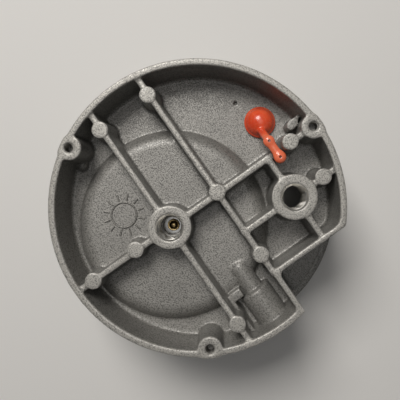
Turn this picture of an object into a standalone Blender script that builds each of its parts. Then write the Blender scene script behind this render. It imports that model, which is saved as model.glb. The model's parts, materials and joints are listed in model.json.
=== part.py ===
"""Round diaphragm-type differential pressure gauge, lying on its face.

Frame: the origin is on the gauge's axis at the front face of the bezel. +Z runs to the rear of the gauge, +Y to
twelve o'clock on the dial, and +X to the right as the gauge is seen from behind.
"""

import math

import bmesh
import bpy
from mathutils import Vector

MM = 0.001
GAP = 0.3 * MM  # left between pieces that touch on the real gauge
OVERRUN = 1.0 * MM  # how far a cutter runs past the face that it opens
SINK = 0.6 * MM  # how deep a rib or boss is let into the wall or floor that it grows from
FACING = 0.5 * MM  # cast stock above a face that is machined flat afterwards

# Overall sizes
TOTAL_DEPTH = 55.56 * MM
BEZEL_RADIUS = 60.325 * MM
BEZEL_DEPTH = 12.7 * MM
BEZEL_OVERHANG = 3.175 * MM  # how far the bezel stands out past the case just behind it
BODY_TAPER = 1.9 * MM  # how much smaller the case is at the rear rim than behind the bezel
RIM_WALL = 2.45 * MM

# Bezel, cover and the front of the case
BEZEL_WALL = 3.925 * MM
BEZEL_LIP = 1.8 * MM
BEZEL_FACE_WIDTH = 9.325 * MM
BEZEL_EDGE = 1.4 * MM
BEZEL_EDGE_SHARE = 0.3  # how much of the square corner the rounded front edge keeps
BEZEL_REAR_CHAMFER = 0.6 * MM
BEZEL_OPENING_CHAMFER = 0.8 * MM
THREAD_CLEARANCE = 0.4 * MM
COVER_THICKNESS = 3.0 * MM
COVER_CHAMFER = 0.4 * MM
FRONT_LAND = 3.6 * MM  # width of the case edge that the cover O-ring seals on
O_RING_SECTION = 0.7 * MM
O_RING_GROOVE_HALF_WIDTH = 1.0 * MM
O_RING_GROOVE_DEPTH = 1.7 * MM
O_RING_SHIFT = 0.1 * MM  # the groove lies this far outside the middle of the land

# Case walls and floor
POCKET_DEPTH = 16.5 * MM
FLOOR_THICKNESS = 2.56 * MM
POCKET_DRAFT = 1.0 * MM
BOWL_DRAFT = 0.8 * MM
NOTCH_X = -37.0 * MM  # outer face of the notch wall that faces -X
NOTCH_Y = -10.6 * MM  # outer face of the notch wall that faces -Y
NOTCH_WALL = 2.0 * MM
NOTCH_FLOOR = 16.5 * MM
NOTCH_FLOOR_THICKNESS = 2.5 * MM

# Diaphragm chamber, with the centre port on its axis
CHAMBER_Y = 12.7 * MM
DOME_OVERLAP = 2.7 * MM  # how far the dome reaches past the seal seat
DOME_SHOULDER = 4.5 * MM
DOME_HEIGHT = 5.5 * MM
DOME_WALL = 2.5 * MM
SEAL_SEAT_RADIUS = 34.8 * MM
SEAL_SEAT_WIDTH = 3.3 * MM
SEAL_SEAT_DEPTH = 3.1 * MM

# Ribs and ejector pads
RIB_WIDTH = 2.3 * MM
RIB_DROP = 0.8 * MM
RIB_DRAFT = 0.5 * MM
PAD_RADIUS = 3.1 * MM
PAD_DROP = 0.5 * MM
RIB_2_Y = -9.2 * MM
TAIL_GAP_Y = (-39.0 * MM, -33.5 * MM)
TAIL_GAP_DEPTH = 8.0 * MM
RIB_TRIM_CLEARANCE = 0.1 * MM
PAD_PLACES = (
    (44.9, -8.8),
    (44.4, 13.1),
    (0.5, -9.2),
    (-27.7, -9.2),
    (-43.8, 12.7),
    (0.5, 27.9),
    (0.0, 47.2),
    (0.3, -42.2),
    (-17.4, -44.7),
)

# Mounting lugs
LUG_INSET = 2.86 * MM  # from the rim to the centre of a lug
LUG_RADIUS = 4.6 * MM
LUG_HOLE_RADIUS = 1.75 * MM
LUG_HOLE_DEPTH = 4.76 * MM
LUG_ANGLES = (-90.0, 30.0, 150.0)

# Pressure ports
PORT_RADIUS = 4.3 * MM
PORT_MOUTH_RADIUS = 5.15 * MM
PORT_MOUTH_DEPTH = 1.0 * MM
PORT_THREAD_DEPTH = 9.0 * MM
CENTRE_BOSS_RADIUS = 8.1 * MM
CENTRE_BORE_RADIUS = 3.4 * MM
OFFSET_BOSS_RADIUS = 8.55 * MM
OFFSET_PORT = (-17.46 * MM, -31.75 * MM)
SIDE_BOSS_RADIUS = 6.3 * MM
SIDE_PORT_1_Y = 1.0 * MM
SIDE_PORT_1_DEPTH = 13.49 * MM  # below the rear rim
SIDE_SHOULDER_X = -39.0 * MM
SIDE_PASSAGE_RADIUS = 4.0 * MM
SIDE_PASSAGE_BORE = 2.1 * MM
SIDE_PASSAGE_END_X = -26.0 * MM
SIDE_PORT_2_Y = -20.0 * MM
SIDE_PORT_2_Z = 28.5 * MM
SIDE_PORT_2_LENGTH = 9.0 * MM

# Diaphragm group
PLATE_RADIUS = 24.0 * MM
PLATE_THICKNESS = 0.8 * MM
DIAPHRAGM_THICKNESS = 0.6 * MM
BEAD_WIDTH = 2.2 * MM
BEAD_HEIGHT = 1.9 * MM
LINK_RADIUS = 1.0 * MM
LINK_SHOULDER = 0.8 * MM
LINK_PLAY = 0.4 * MM
LINK_NUT_SHARE = 2.2  # radius of the nut and the shoulder, over the rod's
LINK_NUT_HEIGHT = 1.2 * MM
RIVET_RADIUS = 2.4 * MM
RIVET_HEAD_HEIGHT = 0.6 * MM
RIVET_TIP_SHARE = 0.54
RIVET_TIP_HEIGHT = 0.5 * MM
RIVET_TIP_SHOULDER = 0.3 * MM
SEALING_PLATE_THICKNESS = 0.7 * MM
SEALING_PLATE_HOLE = 27.0 * MM
RETAINING_THICKNESS = 1.3 * MM
RETAINING_OVERLAP = 3.8 * MM  # how far the ring reaches past the seal seat
RETAINING_HOLE = 30.0 * MM
RETAINING_SCREW_OFFSET = 2.1 * MM  # from the seal seat's edge to the ring's screws

# Range spring, clamp and magnet
SPRING_THICKNESS = 0.5 * MM
SPRING_HALF_WIDTH = 4.5 * MM
SPRING_CENTRE_Z = 29.75 * MM
CLAMP_Y = 44.0 * MM
CLAMP_HALF_LENGTH = 4.0 * MM
CLAMP_HALF_WIDTH = 8.2 * MM
CLAMP_PLATE = 1.3 * MM
CLAMP_CAP = 0.7 * MM  # left over the ends of the clamp screw holes
CLAMP_SCREW_X = 6.4 * MM
SPRING_END_Y = -14.0 * MM
SPRING_HOLE_CLEARANCE = 0.4 * MM
BRACKET_OVERHANG = 0.5 * MM
BRACKET_LENGTH = 7.0 * MM
LAP = 0.2 * MM  # how far two joined bars run into each other
STEP = 0.01 * MM  # keeps two joined faces out of one plane
MAGNET_Z = (19.5 * MM, 24.5 * MM)
MAGNET_LENGTH = 3.4 * MM
MAGNET_HALF_WIDTH = 3.0 * MM
THROAT_WIDTH_SHARE = 0.4
THROAT_DEPTH_SHARE = 0.5

# Helix, wishbone, pointer and dial
PIVOT_Y = -22.0 * MM
HELIX_RADIUS = 3.2 * MM
HELIX_THICKNESS = 0.5 * MM
HELIX_HUB_RADIUS = 1.4 * MM
HELIX_HUB_REACH = 1.0 * MM
HELIX_TWIST = 100.0
HELIX_Z = (14.5 * MM, 26.5 * MM)
SHAFT_RADIUS = 0.6 * MM
JEWEL_RADIUS = 1.6 * MM
WISHBONE_THICKNESS = 1.2 * MM
WISHBONE_HALF_WIDTH = 3.0 * MM
WISHBONE_SPINE_Y = -31.2 * MM
WISHBONE_COVER_CLEARANCE = 1.1 * MM  # from the cover to the front arm
WISHBONE_FOOT_HALF_WIDTH = 7.5 * MM
WISHBONE_FOOT_REACH = 4.5 * MM
WISHBONE_FOOT_HEEL = 0.5 * MM
WISHBONE_SCREW_X = 5.0 * MM
WISHBONE_SCREW_SHIFT = 0.5 * MM
SHELF_OVERHANG = 0.5 * MM
SHELF_REACH = 3.5 * MM
SHELF_CLEARANCE = 0.7 * MM
ARM_LAP = 0.3 * MM
FRONT_JEWEL_REACH = 0.7 * MM
REAR_JEWEL_REACH = 0.3 * MM
JEWEL_REACH = 1.0 * MM
WISHBONE_REAR_Z = 31.0 * MM
DIAL_CLEARANCE = 2.1 * MM  # from the pointer's middle to the dial
DIAL_THICKNESS = 0.8 * MM
DIAL_SLOT_CLEARANCE = 1.2 * MM
DIAL_SLOT_BELOW = 2.0 * MM
DIAL_SLOT_ABOVE = 5.5 * MM
DIAL_SCREW_LENGTHS = (5.0 * MM, 2.1 * MM)
DIAL_HOLE_DEPTHS = (6.0 * MM, 2.4 * MM)
DIAL_EDGE_CLEARANCE = 2.8 * MM
DIAL_POST_RADIUS = 3.0 * MM
DIAL_POST = (38.0 * MM, -22.0 * MM)
POINTER_LENGTH = 56.0 * MM
POINTER_TAIL = 7.0 * MM
POINTER_RADIUS = 0.75 * MM
POINTER_ARM_CLEARANCE = 3.7 * MM  # from the front arm's front face to the pointer's middle
POINTER_HUB_RADIUS = 2.2 * MM
POINTER_HUB_FRONT = 1.0 * MM
POINTER_HUB_REAR = 1.2 * MM
NEEDLE_LENGTH = 10.0 * MM
NEEDLE_SHARE = 0.85  # radius of the needle, over the tube's
NEEDLE_LAP = 0.02
NEEDLE_TIP_RADIUS = 0.25 * MM
NEEDLE_STEPS = 8
WEIGHT_INSET = 0.6 * MM
WEIGHT_LENGTH = 3.0 * MM
WEIGHT_RADIUS = 1.6 * MM
POINTER_REST_ANGLE = 40.0  # degrees from twelve o'clock towards +X
STOP_DISTANCE = 20.0 * MM
STOP_RADIUS = 1.5 * MM
STOP_FLARE = 1.2
STOP_REACH = 0.6 * MM
STOP_ANGLE = 50.0

# Zero adjustment
ZERO_Y = -43.0 * MM
ZERO_HEAD_RADIUS = 3.3 * MM
ZERO_SHAFT_RADIUS = 1.5 * MM
ZERO_PIN_RADIUS = 0.6 * MM
ZERO_PIN_INSET = 0.02 * MM
ZERO_PIN_REACH = 0.5 * MM
ZERO_HEAD_REACH = 0.6 * MM  # how far the head stands forward of the cover's seat
ZERO_HEAD_CHAMFER = 0.4 * MM
ZERO_FLANGE_THICKNESS = 1.0 * MM
ZERO_FLANGE_OVERLAP = 1.1 * MM
ZERO_SHAFT_CLEARANCE = 0.7 * MM
ZERO_NECK_DEPTH = 1.2 * MM
ZERO_NECK = (0.8 * MM, 2.3 * MM)  # the O-ring's neck, measured from the front of the cover
ZERO_SLOT_HALF_WIDTH = 0.5 * MM
ZERO_SLOT_DEPTH = 0.9 * MM
LEVER_PIVOT_Y = -36.0 * MM
LEVER_THICKNESS = 1.0 * MM
LEVER_Z = 15.3 * MM
LEVER_HALF_WIDTH = 2.4 * MM
LEVER_REACH = 2.8 * MM
LEVER_EYE_MARGIN = 0.1 * MM
FORK_CLEARANCE = 0.5 * MM

# Relief plug
PLUG_PLACE = (13.8 * MM, -38.5 * MM)
PLUG_HEAD_RADIUS = 6.25 * MM
PLUG_HEAD_HEIGHT = 5.2 * MM
PLUG_STEM_RADIUS = 3.7 * MM
PLUG_STEM_REACH = 1.5 * MM
PLUG_FLANGE_HEIGHT = 0.8 * MM
PLUG_FLANGE_STEP = 0.5 * MM
PLUG_DOME_BASE = 1.0 * MM
PLUG_DOME_STEPS = 5
PLUG_NECK_SHIFT = 1.0 * MM
PLUG_NECK_SIDE_SHARE = 0.5
PLUG_NECK_HEIGHT_SHARE = 0.6
PLUG_TAIL_RADIUS = 1.4 * MM
PLUG_BULB_RADIUS = 2.4 * MM
PLUG_TAIL_Y = -36.3 * MM
PLUG_BULBS_X = (5.2 * MM, -2.2 * MM)

# Small screws
SCREW_SHANK_RADIUS = 1.0 * MM
SCREW_HEAD_RADIUS = 2.0 * MM
SCREW_HEAD_HEIGHT = 1.3 * MM
SCREW_HEAD_CHAMFER = 0.3 * MM
SCREW_BITE = 1.5 * MM  # how far a screw reaches into the case
SCREW_HOLE_DEPTH = 1.9 * MM
SCREW_SLOT_WIDTH = 0.5 * MM
SCREW_SLOT_DEPTH = 0.5 * MM

# Levels that follow from the sizes above
BODY_RADIUS = BEZEL_RADIUS - BEZEL_OVERHANG
RIM_RADIUS = BODY_RADIUS - BODY_TAPER
BEZEL_OPENING_RADIUS = BEZEL_RADIUS - BEZEL_FACE_WIDTH
LUG_CIRCLE_RADIUS = RIM_RADIUS - LUG_INSET
RIM_Z = TOTAL_DEPTH
FLOOR_Z = RIM_Z - POCKET_DEPTH
CEILING_Z = FLOOR_Z - FLOOR_THICKNESS  # rear end of the front bowl
COVER_Z = BEZEL_LIP + GAP
CASE_FRONT_Z = COVER_Z + COVER_THICKNESS + GAP
SHOULDER_Z = BEZEL_DEPTH + GAP
BEZEL_BORE_RADIUS = BEZEL_RADIUS - BEZEL_WALL
NECK_RADIUS = BEZEL_BORE_RADIUS - THREAD_CLEARANCE
BOWL_RADIUS = NECK_RADIUS - FRONT_LAND
O_RING_MIDDLE = (NECK_RADIUS + BOWL_RADIUS) / 2 + O_RING_SHIFT
DIAL_RADIUS = BOWL_RADIUS - DIAL_EDGE_CLEARANCE
POCKET_RADIUS = RIM_RADIUS - RIM_WALL
DOME_RADIUS = SEAL_SEAT_RADIUS + DOME_OVERLAP
CHAMBER_RADIUS = SEAL_SEAT_RADIUS - SEAL_SEAT_WIDTH
RETAINING_RADIUS = SEAL_SEAT_RADIUS + RETAINING_OVERLAP
RETAINING_SCREW_CIRCLE = SEAL_SEAT_RADIUS + RETAINING_SCREW_OFFSET
DOME_Z = FLOOR_Z + DOME_HEIGHT
CHAMBER_TOP_Z = DOME_Z - DOME_WALL
SEAL_SEAT_Z = CEILING_Z + SEAL_SEAT_DEPTH
SIDE_PORT_1_Z = RIM_Z - SIDE_PORT_1_DEPTH
SPRING_Z = SPRING_CENTRE_Z - SPRING_THICKNESS / 2
BEAD_Z = SEAL_SEAT_Z - GAP - BEAD_HEIGHT
DIAPHRAGM_Z = SEAL_SEAT_Z - 2 * GAP - DIAPHRAGM_THICKNESS
SEALING_PLATE_Z = BEAD_Z - GAP - SEALING_PLATE_THICKNESS
RETAINING_Z = SEALING_PLATE_Z - GAP - RETAINING_THICKNESS
WISHBONE_FRONT_Z = COVER_Z + COVER_THICKNESS + WISHBONE_COVER_CLEARANCE
POINTER_Z = WISHBONE_FRONT_Z + POINTER_ARM_CLEARANCE
DIAL_Z = POINTER_Z + DIAL_CLEARANCE
POST_FRONT_Z = DIAL_Z + DIAL_THICKNESS + GAP
HOLE_RADIUS = SCREW_SHANK_RADIUS + GAP  # clearance hole for a small screw

FINE = 60  # steps round the largest turned pieces
BROAD = 40
MEDIUM = 24
SMALL = 12

parts = None
helpers = None


def clear_scene():
    for old in list(bpy.data.objects):
        bpy.data.objects.remove(old, do_unlink=True)


def new_collection(name):
    collection = bpy.data.collections.new(name)
    bpy.context.scene.collection.children.link(collection)
    return collection


def finish_material(name, colour, roughness, metallic, alpha=1.0):
    made = bpy.data.materials.get(name) or bpy.data.materials.new(name)
    made.use_nodes = True
    shader = made.node_tree.nodes["Principled BSDF"]
    shader.inputs["Base Color"].default_value = (*colour, 1.0)
    shader.inputs["Roughness"].default_value = roughness
    shader.inputs["Metallic"].default_value = metallic
    shader.inputs["Alpha"].default_value = alpha
    made.diffuse_color = (*colour, alpha)
    return made


def hammertone_paint():
    return finish_material("hammertone_paint", (0.20, 0.195, 0.185), 0.45, 0.3)


def plated_steel():
    return finish_material("plated_steel", (0.62, 0.62, 0.60), 0.3, 1.0)


def spring_steel():
    return finish_material("spring_steel", (0.45, 0.46, 0.48), 0.35, 1.0)


def aluminium():
    return finish_material("aluminium", (0.78, 0.78, 0.77), 0.35, 1.0)


def brass():
    return finish_material("brass", (0.72, 0.53, 0.24), 0.3, 1.0)


def black_rubber():
    return finish_material("black_rubber", (0.03, 0.03, 0.03), 0.7, 0.0)


def red_silicone():
    return finish_material("red_silicone", (0.75, 0.10, 0.03), 0.3, 0.0)


def grey_silicone():
    return finish_material("grey_silicone", (0.32, 0.30, 0.28), 0.6, 0.0)


def clear_acrylic():
    return finish_material("clear_acrylic", (0.9, 0.93, 0.93), 0.05, 0.0, alpha=0.3)


def white_enamel():
    return finish_material("white_enamel", (0.85, 0.85, 0.82), 0.5, 0.0)


def jewel():
    return finish_material("jewel", (0.55, 0.04, 0.10), 0.1, 0.0)


def magnet_alloy():
    return finish_material("magnet_alloy", (0.22, 0.22, 0.23), 0.5, 0.8)


def link_object(name, bm, material, collection):
    """Makes a bmesh into an object, shaded smooth up to 35 degrees."""
    bmesh.ops.recalc_face_normals(bm, faces=bm.faces)
    mesh = bpy.data.meshes.new(name)
    bm.to_mesh(mesh)
    bm.free()
    mesh.shade_smooth()
    mesh.set_sharp_from_angle(angle=math.radians(35))
    made = bpy.data.objects.new(name, mesh)
    collection.objects.link(made)
    if material:
        mesh.materials.append(material)
    if collection is helpers:
        made.hide_render = True
        made.display_type = "WIRE"
    return made


def helper_collection_of(material):
    """Shapes with a material are sub-parts; the rest only cut or join."""
    return parts if material else helpers


def box(name, low, high, material=None):
    bm = bmesh.new()
    bmesh.ops.create_cube(bm, size=1.0)
    size = Vector(high) - Vector(low)
    middle = (Vector(high) + Vector(low)) / 2
    bmesh.ops.scale(bm, vec=size, verts=bm.verts)
    bmesh.ops.translate(bm, vec=middle, verts=bm.verts)
    return link_object(name, bm, material, helper_collection_of(material))


def rod(name, start, end, radius, end_radius=None, steps=MEDIUM, material=None):
    """A cylinder, or a cone where end_radius is given, between two points."""
    start, end = Vector(start), Vector(end)
    along = end - start
    bm = bmesh.new()
    bmesh.ops.create_cone(
        bm,
        cap_ends=True,
        segments=steps,
        radius1=radius,
        radius2=radius if end_radius is None else end_radius,
        depth=along.length,
    )
    bmesh.ops.rotate(bm, matrix=along.to_track_quat("Z", "Y").to_matrix(), verts=bm.verts)
    bmesh.ops.translate(bm, vec=(start + end) / 2, verts=bm.verts)
    return link_object(name, bm, material, helper_collection_of(material))


def upright(name, place, low, high, radius, end_radius=None, steps=MEDIUM, material=None):
    """A cylinder or cone along Z at an (x, y) place."""
    return rod(name, (*place, low), (*place, high), radius, end_radius, steps, material)


def ball(name, centre, radius, material=None):
    bm = bmesh.new()
    bmesh.ops.create_uvsphere(bm, u_segments=SMALL, v_segments=SMALL // 2, radius=radius)
    bmesh.ops.translate(bm, vec=centre, verts=bm.verts)
    return link_object(name, bm, material, helper_collection_of(material))


def turned(name, profile, place=(0.0, 0.0), steps=FINE, material=None, closed=True):
    """A shape turned about the Z line through place, from (radius, z) points that run down the outer side."""
    bm = bmesh.new()
    verts = [bm.verts.new((radius, 0.0, z)) for radius, z in profile]
    pairs = list(zip(verts, verts[1:]))
    if closed:
        pairs.append((verts[-1], verts[0]))
    for a, b in pairs:
        bm.edges.new((a, b))
    mesh = bpy.data.meshes.new(name)
    bm.to_mesh(mesh)
    bm.free()
    made = bpy.data.objects.new(name, mesh)
    made.location = (*place, 0.0)
    helper_collection_of(material).objects.link(made)
    screw = made.modifiers.new("turn", "SCREW")
    screw.steps = screw.render_steps = steps
    screw.use_merge_vertices = True
    screw.merge_threshold = 0.00001
    screw.use_smooth_shade = True
    if material:
        mesh.materials.append(material)
    else:
        made.hide_render = True
        made.display_type = "WIRE"
    return made


def ring(name, inner, outer, low, high, place=(0.0, 0.0), steps=FINE, material=None):
    profile = ((outer, high), (outer, low), (inner, low), (inner, high))
    return turned(name, profile, place, steps, material)


def o_ring(name, major, section, z, place=(0.0, 0.0), steps=BROAD, sides=6, material=None):
    """A ring of round section."""
    turns = [-2 * math.pi * step / sides for step in range(sides)]
    profile = [(major + section * math.cos(turn), z + section * math.sin(turn)) for turn in turns]
    return turned(name, profile, place, steps, material)


def combine(target, other, operation):
    """The case takes the MANIFOLD solver: EXACT leaves open edges where its turned pieces share planes."""
    step = target.modifiers.new(f"{operation.lower()}_{other.name}", "BOOLEAN")
    step.operation = operation
    step.solver = "MANIFOLD" if target.name == "case" else "EXACT"
    step.object = other


def join(target, *others):
    for other in others:
        combine(target, other, "UNION")


def cut(target, *others):
    for other in others:
        combine(target, other, "DIFFERENCE")


def set_axis(piece, place):
    """Moves a piece's origin to its joint's axis without moving its shape."""
    shift = Vector(place) - piece.location
    for vertex in piece.data.vertices:
        vertex.co -= shift
    piece.location = place


def slotted_screw(name, place, seat_z, tip_z, material):
    """A small screw whose head faces the front of the gauge. Its shank runs from seat_z to tip_z."""
    head_z = seat_z - SCREW_HEAD_HEIGHT
    profile = (
        (0.0, tip_z),
        (SCREW_SHANK_RADIUS, tip_z),
        (SCREW_SHANK_RADIUS, seat_z),
        (SCREW_HEAD_RADIUS, seat_z),
        (SCREW_HEAD_RADIUS, head_z + SCREW_HEAD_CHAMFER),
        (SCREW_HEAD_RADIUS - SCREW_HEAD_CHAMFER, head_z),
        (0.0, head_z),
    )
    screw = turned(name, profile, place, SMALL, material, closed=False)
    x, y = place
    slot = box(
        f"{name}_slot",
        (x - SCREW_SLOT_WIDTH / 2, y - 2 * SCREW_HEAD_RADIUS, head_z - OVERRUN),
        (x + SCREW_SLOT_WIDTH / 2, y + 2 * SCREW_HEAD_RADIUS, head_z + SCREW_SLOT_DEPTH),
    )
    cut(screw, slot)
    return screw


def around(centre_y, radius, degrees):
    """The (x, y) place at an angle from +X on a circle about (0, centre_y)."""
    turn = math.radians(degrees)
    return (radius * math.cos(turn), centre_y + radius * math.sin(turn))


# ---------------------------------------------------------------- case


def notch_block(name, low_z, high_z):
    """The corner that the notch takes from the round case, measured inside its walls."""
    reach = BEZEL_RADIUS + OVERRUN
    return box(
        name,
        (-reach, -reach, low_z),
        (NOTCH_X + NOTCH_WALL, NOTCH_Y + NOTCH_WALL, high_z),
    )


def case_blank():
    return turned(
        "case",
        (
            (0.0, RIM_Z + FACING),
            (RIM_RADIUS - FACING, RIM_Z + FACING),
            (RIM_RADIUS, RIM_Z - FACING),
            (BODY_RADIUS, SHOULDER_Z),
            (NECK_RADIUS, SHOULDER_Z),
            (NECK_RADIUS, CASE_FRONT_Z),
            (0.0, CASE_FRONT_Z),
        ),
        material=hammertone_paint(),
        closed=False,
    )


def hollow_case(case):
    """Opens the rear pocket, the front bowl and the corner notch."""
    pocket = turned(
        "pocket_cutter",
        (
            (0.0, RIM_Z + OVERRUN),
            (POCKET_RADIUS, RIM_Z + OVERRUN),
            (POCKET_RADIUS - POCKET_DRAFT, FLOOR_Z),
            (0.0, FLOOR_Z),
        ),
        closed=False,
    )
    cut(pocket, notch_block("pocket_corner", FLOOR_Z - OVERRUN, RIM_Z + 2 * OVERRUN))
    bowl = turned(
        "bowl_cutter",
        (
            (0.0, CEILING_Z),
            (BOWL_RADIUS - BOWL_DRAFT, CEILING_Z),
            (BOWL_RADIUS, CASE_FRONT_Z - OVERRUN),
            (0.0, CASE_FRONT_Z - OVERRUN),
        ),
        closed=False,
    )
    cut(bowl, notch_block("bowl_corner", NOTCH_FLOOR - NOTCH_FLOOR_THICKNESS, CEILING_Z + OVERRUN))
    reach = BEZEL_RADIUS + OVERRUN
    notch = box(
        "notch_cutter",
        (-reach, -reach, NOTCH_FLOOR),
        (NOTCH_X, NOTCH_Y, RIM_Z + OVERRUN),
    )
    groove = ring(
        "o_ring_groove",
        O_RING_MIDDLE - O_RING_GROOVE_HALF_WIDTH,
        O_RING_MIDDLE + O_RING_GROOVE_HALF_WIDTH,
        CASE_FRONT_Z - OVERRUN,
        CASE_FRONT_Z + O_RING_GROOVE_DEPTH,
    )
    cut(case, pocket, bowl, notch, groove)


def rib(name, start, end, stock):
    """A drafted rib from the pocket floor, between two (x, y) ends on one row axis, with stock above the rim."""
    (x0, y0), (x1, y1) = start, end
    half = RIB_WIDTH / 2
    along_x = abs(x1 - x0) > abs(y1 - y0)
    grow = Vector((0.0, half, 0.0)) if along_x else Vector((half, 0.0, 0.0))
    low = Vector((min(x0, x1), min(y0, y1), FLOOR_Z - SINK)) - grow
    high = Vector((max(x0, x1), max(y0, y1), RIM_Z + stock)) + grow
    made = box(name, low, high)
    side = 1 if along_x else 0
    for vertex in made.data.vertices:
        if vertex.co.z < FLOOR_Z:
            vertex.co[side] += math.copysign(RIB_DRAFT, vertex.co[side] - (low[side] + high[side]) / 2)
    return made


def edge_of_pocket(offset):
    """How far a rib on a line at this offset from the axis runs before it is inside the outer wall."""
    return math.sqrt((POCKET_RADIUS + SINK) ** 2 - offset**2)


def add_ribs(case):
    offset_x, offset_y = OFFSET_PORT
    long_reach = edge_of_pocket(CHAMBER_Y)
    lines = (
        ((-long_reach, CHAMBER_Y), (long_reach, CHAMBER_Y)),
        ((NOTCH_X + NOTCH_WALL - SINK, RIB_2_Y), (edge_of_pocket(RIB_2_Y), RIB_2_Y)),
        ((NOTCH_X + NOTCH_WALL - SINK, offset_y), (0.0, offset_y)),
        ((0.0, -edge_of_pocket(0.0)), (0.0, edge_of_pocket(0.0))),
        ((offset_x, -edge_of_pocket(offset_x)), (offset_x, RIB_2_Y)),
    )
    ribs = [rib(f"rib_{n + 1}", start, end, (n + 2) * FACING) for n, (start, end) in enumerate(lines)]
    gap_low, gap_high = TAIL_GAP_Y
    tail_gap = box(
        "tail_gap",
        (-3 * RIB_WIDTH, gap_low, RIM_Z - TAIL_GAP_DEPTH),
        (3 * RIB_WIDTH, gap_high, RIM_Z + BODY_RADIUS),
    )
    cut(ribs[3], tail_gap)
    join(case, *ribs)
    reach = POCKET_RADIUS + RIB_TRIM_CLEARANCE
    trim = upright("rib_trim", (0.0, 0.0), RIM_Z - RIB_DROP, RIM_Z + BODY_RADIUS, reach, steps=FINE)
    cut(case, trim)
    pads = [
        upright(f"pad_{index}", (x * MM, y * MM), FLOOR_Z - SINK, RIM_Z - PAD_DROP, PAD_RADIUS, steps=MEDIUM)
        for index, (x, y) in enumerate(PAD_PLACES)
    ]
    join(case, *pads)


def add_dome(case):
    dome = turned(
        "dome",
        (
            (0.0, DOME_Z),
            (DOME_RADIUS - DOME_SHOULDER, DOME_Z),
            (DOME_RADIUS - 0.3 * DOME_SHOULDER, DOME_Z - 0.3 * DOME_HEIGHT),
            (DOME_RADIUS, FLOOR_Z),
            (DOME_RADIUS, FLOOR_Z - SINK),
            (0.0, FLOOR_Z - SINK),
        ),
        place=(0.0, CHAMBER_Y),
        closed=False,
    )
    join(case, dome)


def add_bosses(case):
    """Mounting lugs, port bosses and the side ports' cylinders."""
    lugs = [
        upright(
            f"lug_{index}",
            around(0.0, LUG_CIRCLE_RADIUS, angle),
            FLOOR_Z - SINK,
            RIM_Z + 2 * FACING,
            LUG_RADIUS,
            steps=MEDIUM,
        )
        for index, angle in enumerate(LUG_ANGLES)
    ]
    boss_top = RIM_Z - PAD_DROP
    centre = upright("centre_boss", (0.0, CHAMBER_Y), FLOOR_Z, boss_top, CENTRE_BOSS_RADIUS)
    offset = upright("offset_boss", OFFSET_PORT, FLOOR_Z - SINK, boss_top, OFFSET_BOSS_RADIUS)
    wall_x = -math.sqrt(POCKET_RADIUS**2 - SIDE_PORT_1_Y**2) - SINK
    side = rod(
        "side_boss",
        (wall_x, SIDE_PORT_1_Y, SIDE_PORT_1_Z),
        (SIDE_SHOULDER_X, SIDE_PORT_1_Y, SIDE_PORT_1_Z),
        SIDE_BOSS_RADIUS,
    )
    passage = rod(
        "side_passage",
        (SIDE_SHOULDER_X - OVERRUN, SIDE_PORT_1_Y, SIDE_PORT_1_Z),
        (SIDE_PASSAGE_END_X, SIDE_PORT_1_Y, SIDE_PORT_1_Z),
        SIDE_PASSAGE_RADIUS,
        steps=MEDIUM,
    )
    below = box(
        "below_ceiling",
        (-BODY_RADIUS, SIDE_PORT_1_Y - 2 * SIDE_BOSS_RADIUS, 0.0),
        (0.0, SIDE_PORT_1_Y + 2 * SIDE_BOSS_RADIUS, CEILING_Z + SINK),
    )
    cut(side, below)
    inner_side = rod(
        "inner_side_boss",
        (NOTCH_X + NOTCH_WALL / 2, SIDE_PORT_2_Y, SIDE_PORT_2_Z),
        (NOTCH_X + SIDE_PORT_2_LENGTH, SIDE_PORT_2_Y, SIDE_PORT_2_Z),
        SIDE_BOSS_RADIUS,
        steps=MEDIUM,
    )
    post = upright("dial_post", DIAL_POST, POST_FRONT_Z, CEILING_Z + SINK, DIAL_POST_RADIUS, steps=MEDIUM)
    mirror_place = (-DIAL_POST[0], DIAL_POST[1])
    ledge_z = NOTCH_FLOOR - NOTCH_FLOOR_THICKNESS
    small_post = upright("dial_boss", mirror_place, POST_FRONT_Z, ledge_z + SINK, DIAL_POST_RADIUS, steps=MEDIUM)
    join(case, *lugs, centre, offset, side, passage, inner_side, post, small_post)


def port_cutters(name, mouth, inward, bore_radius, thread_depth, through_depth):
    """The mouth chamfer, tapped hole and inner bore of a port, from its mouth inwards."""
    mouth, inward = Vector(mouth), Vector(inward)
    chamfer = rod(
        f"{name}_chamfer",
        mouth - inward * OVERRUN,
        mouth + inward * PORT_MOUTH_DEPTH,
        PORT_MOUTH_RADIUS + OVERRUN * (PORT_MOUTH_RADIUS - PORT_RADIUS) / PORT_MOUTH_DEPTH,
        PORT_RADIUS,
    )
    thread = rod(f"{name}_thread", mouth - inward * OVERRUN, mouth + inward * thread_depth, PORT_RADIUS)
    if through_depth <= thread_depth:
        return [chamfer, thread]
    bore = rod(
        f"{name}_bore",
        mouth + inward * (thread_depth - OVERRUN),
        mouth + inward * through_depth,
        bore_radius,
        steps=MEDIUM,
    )
    return [chamfer, thread, bore]


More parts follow.
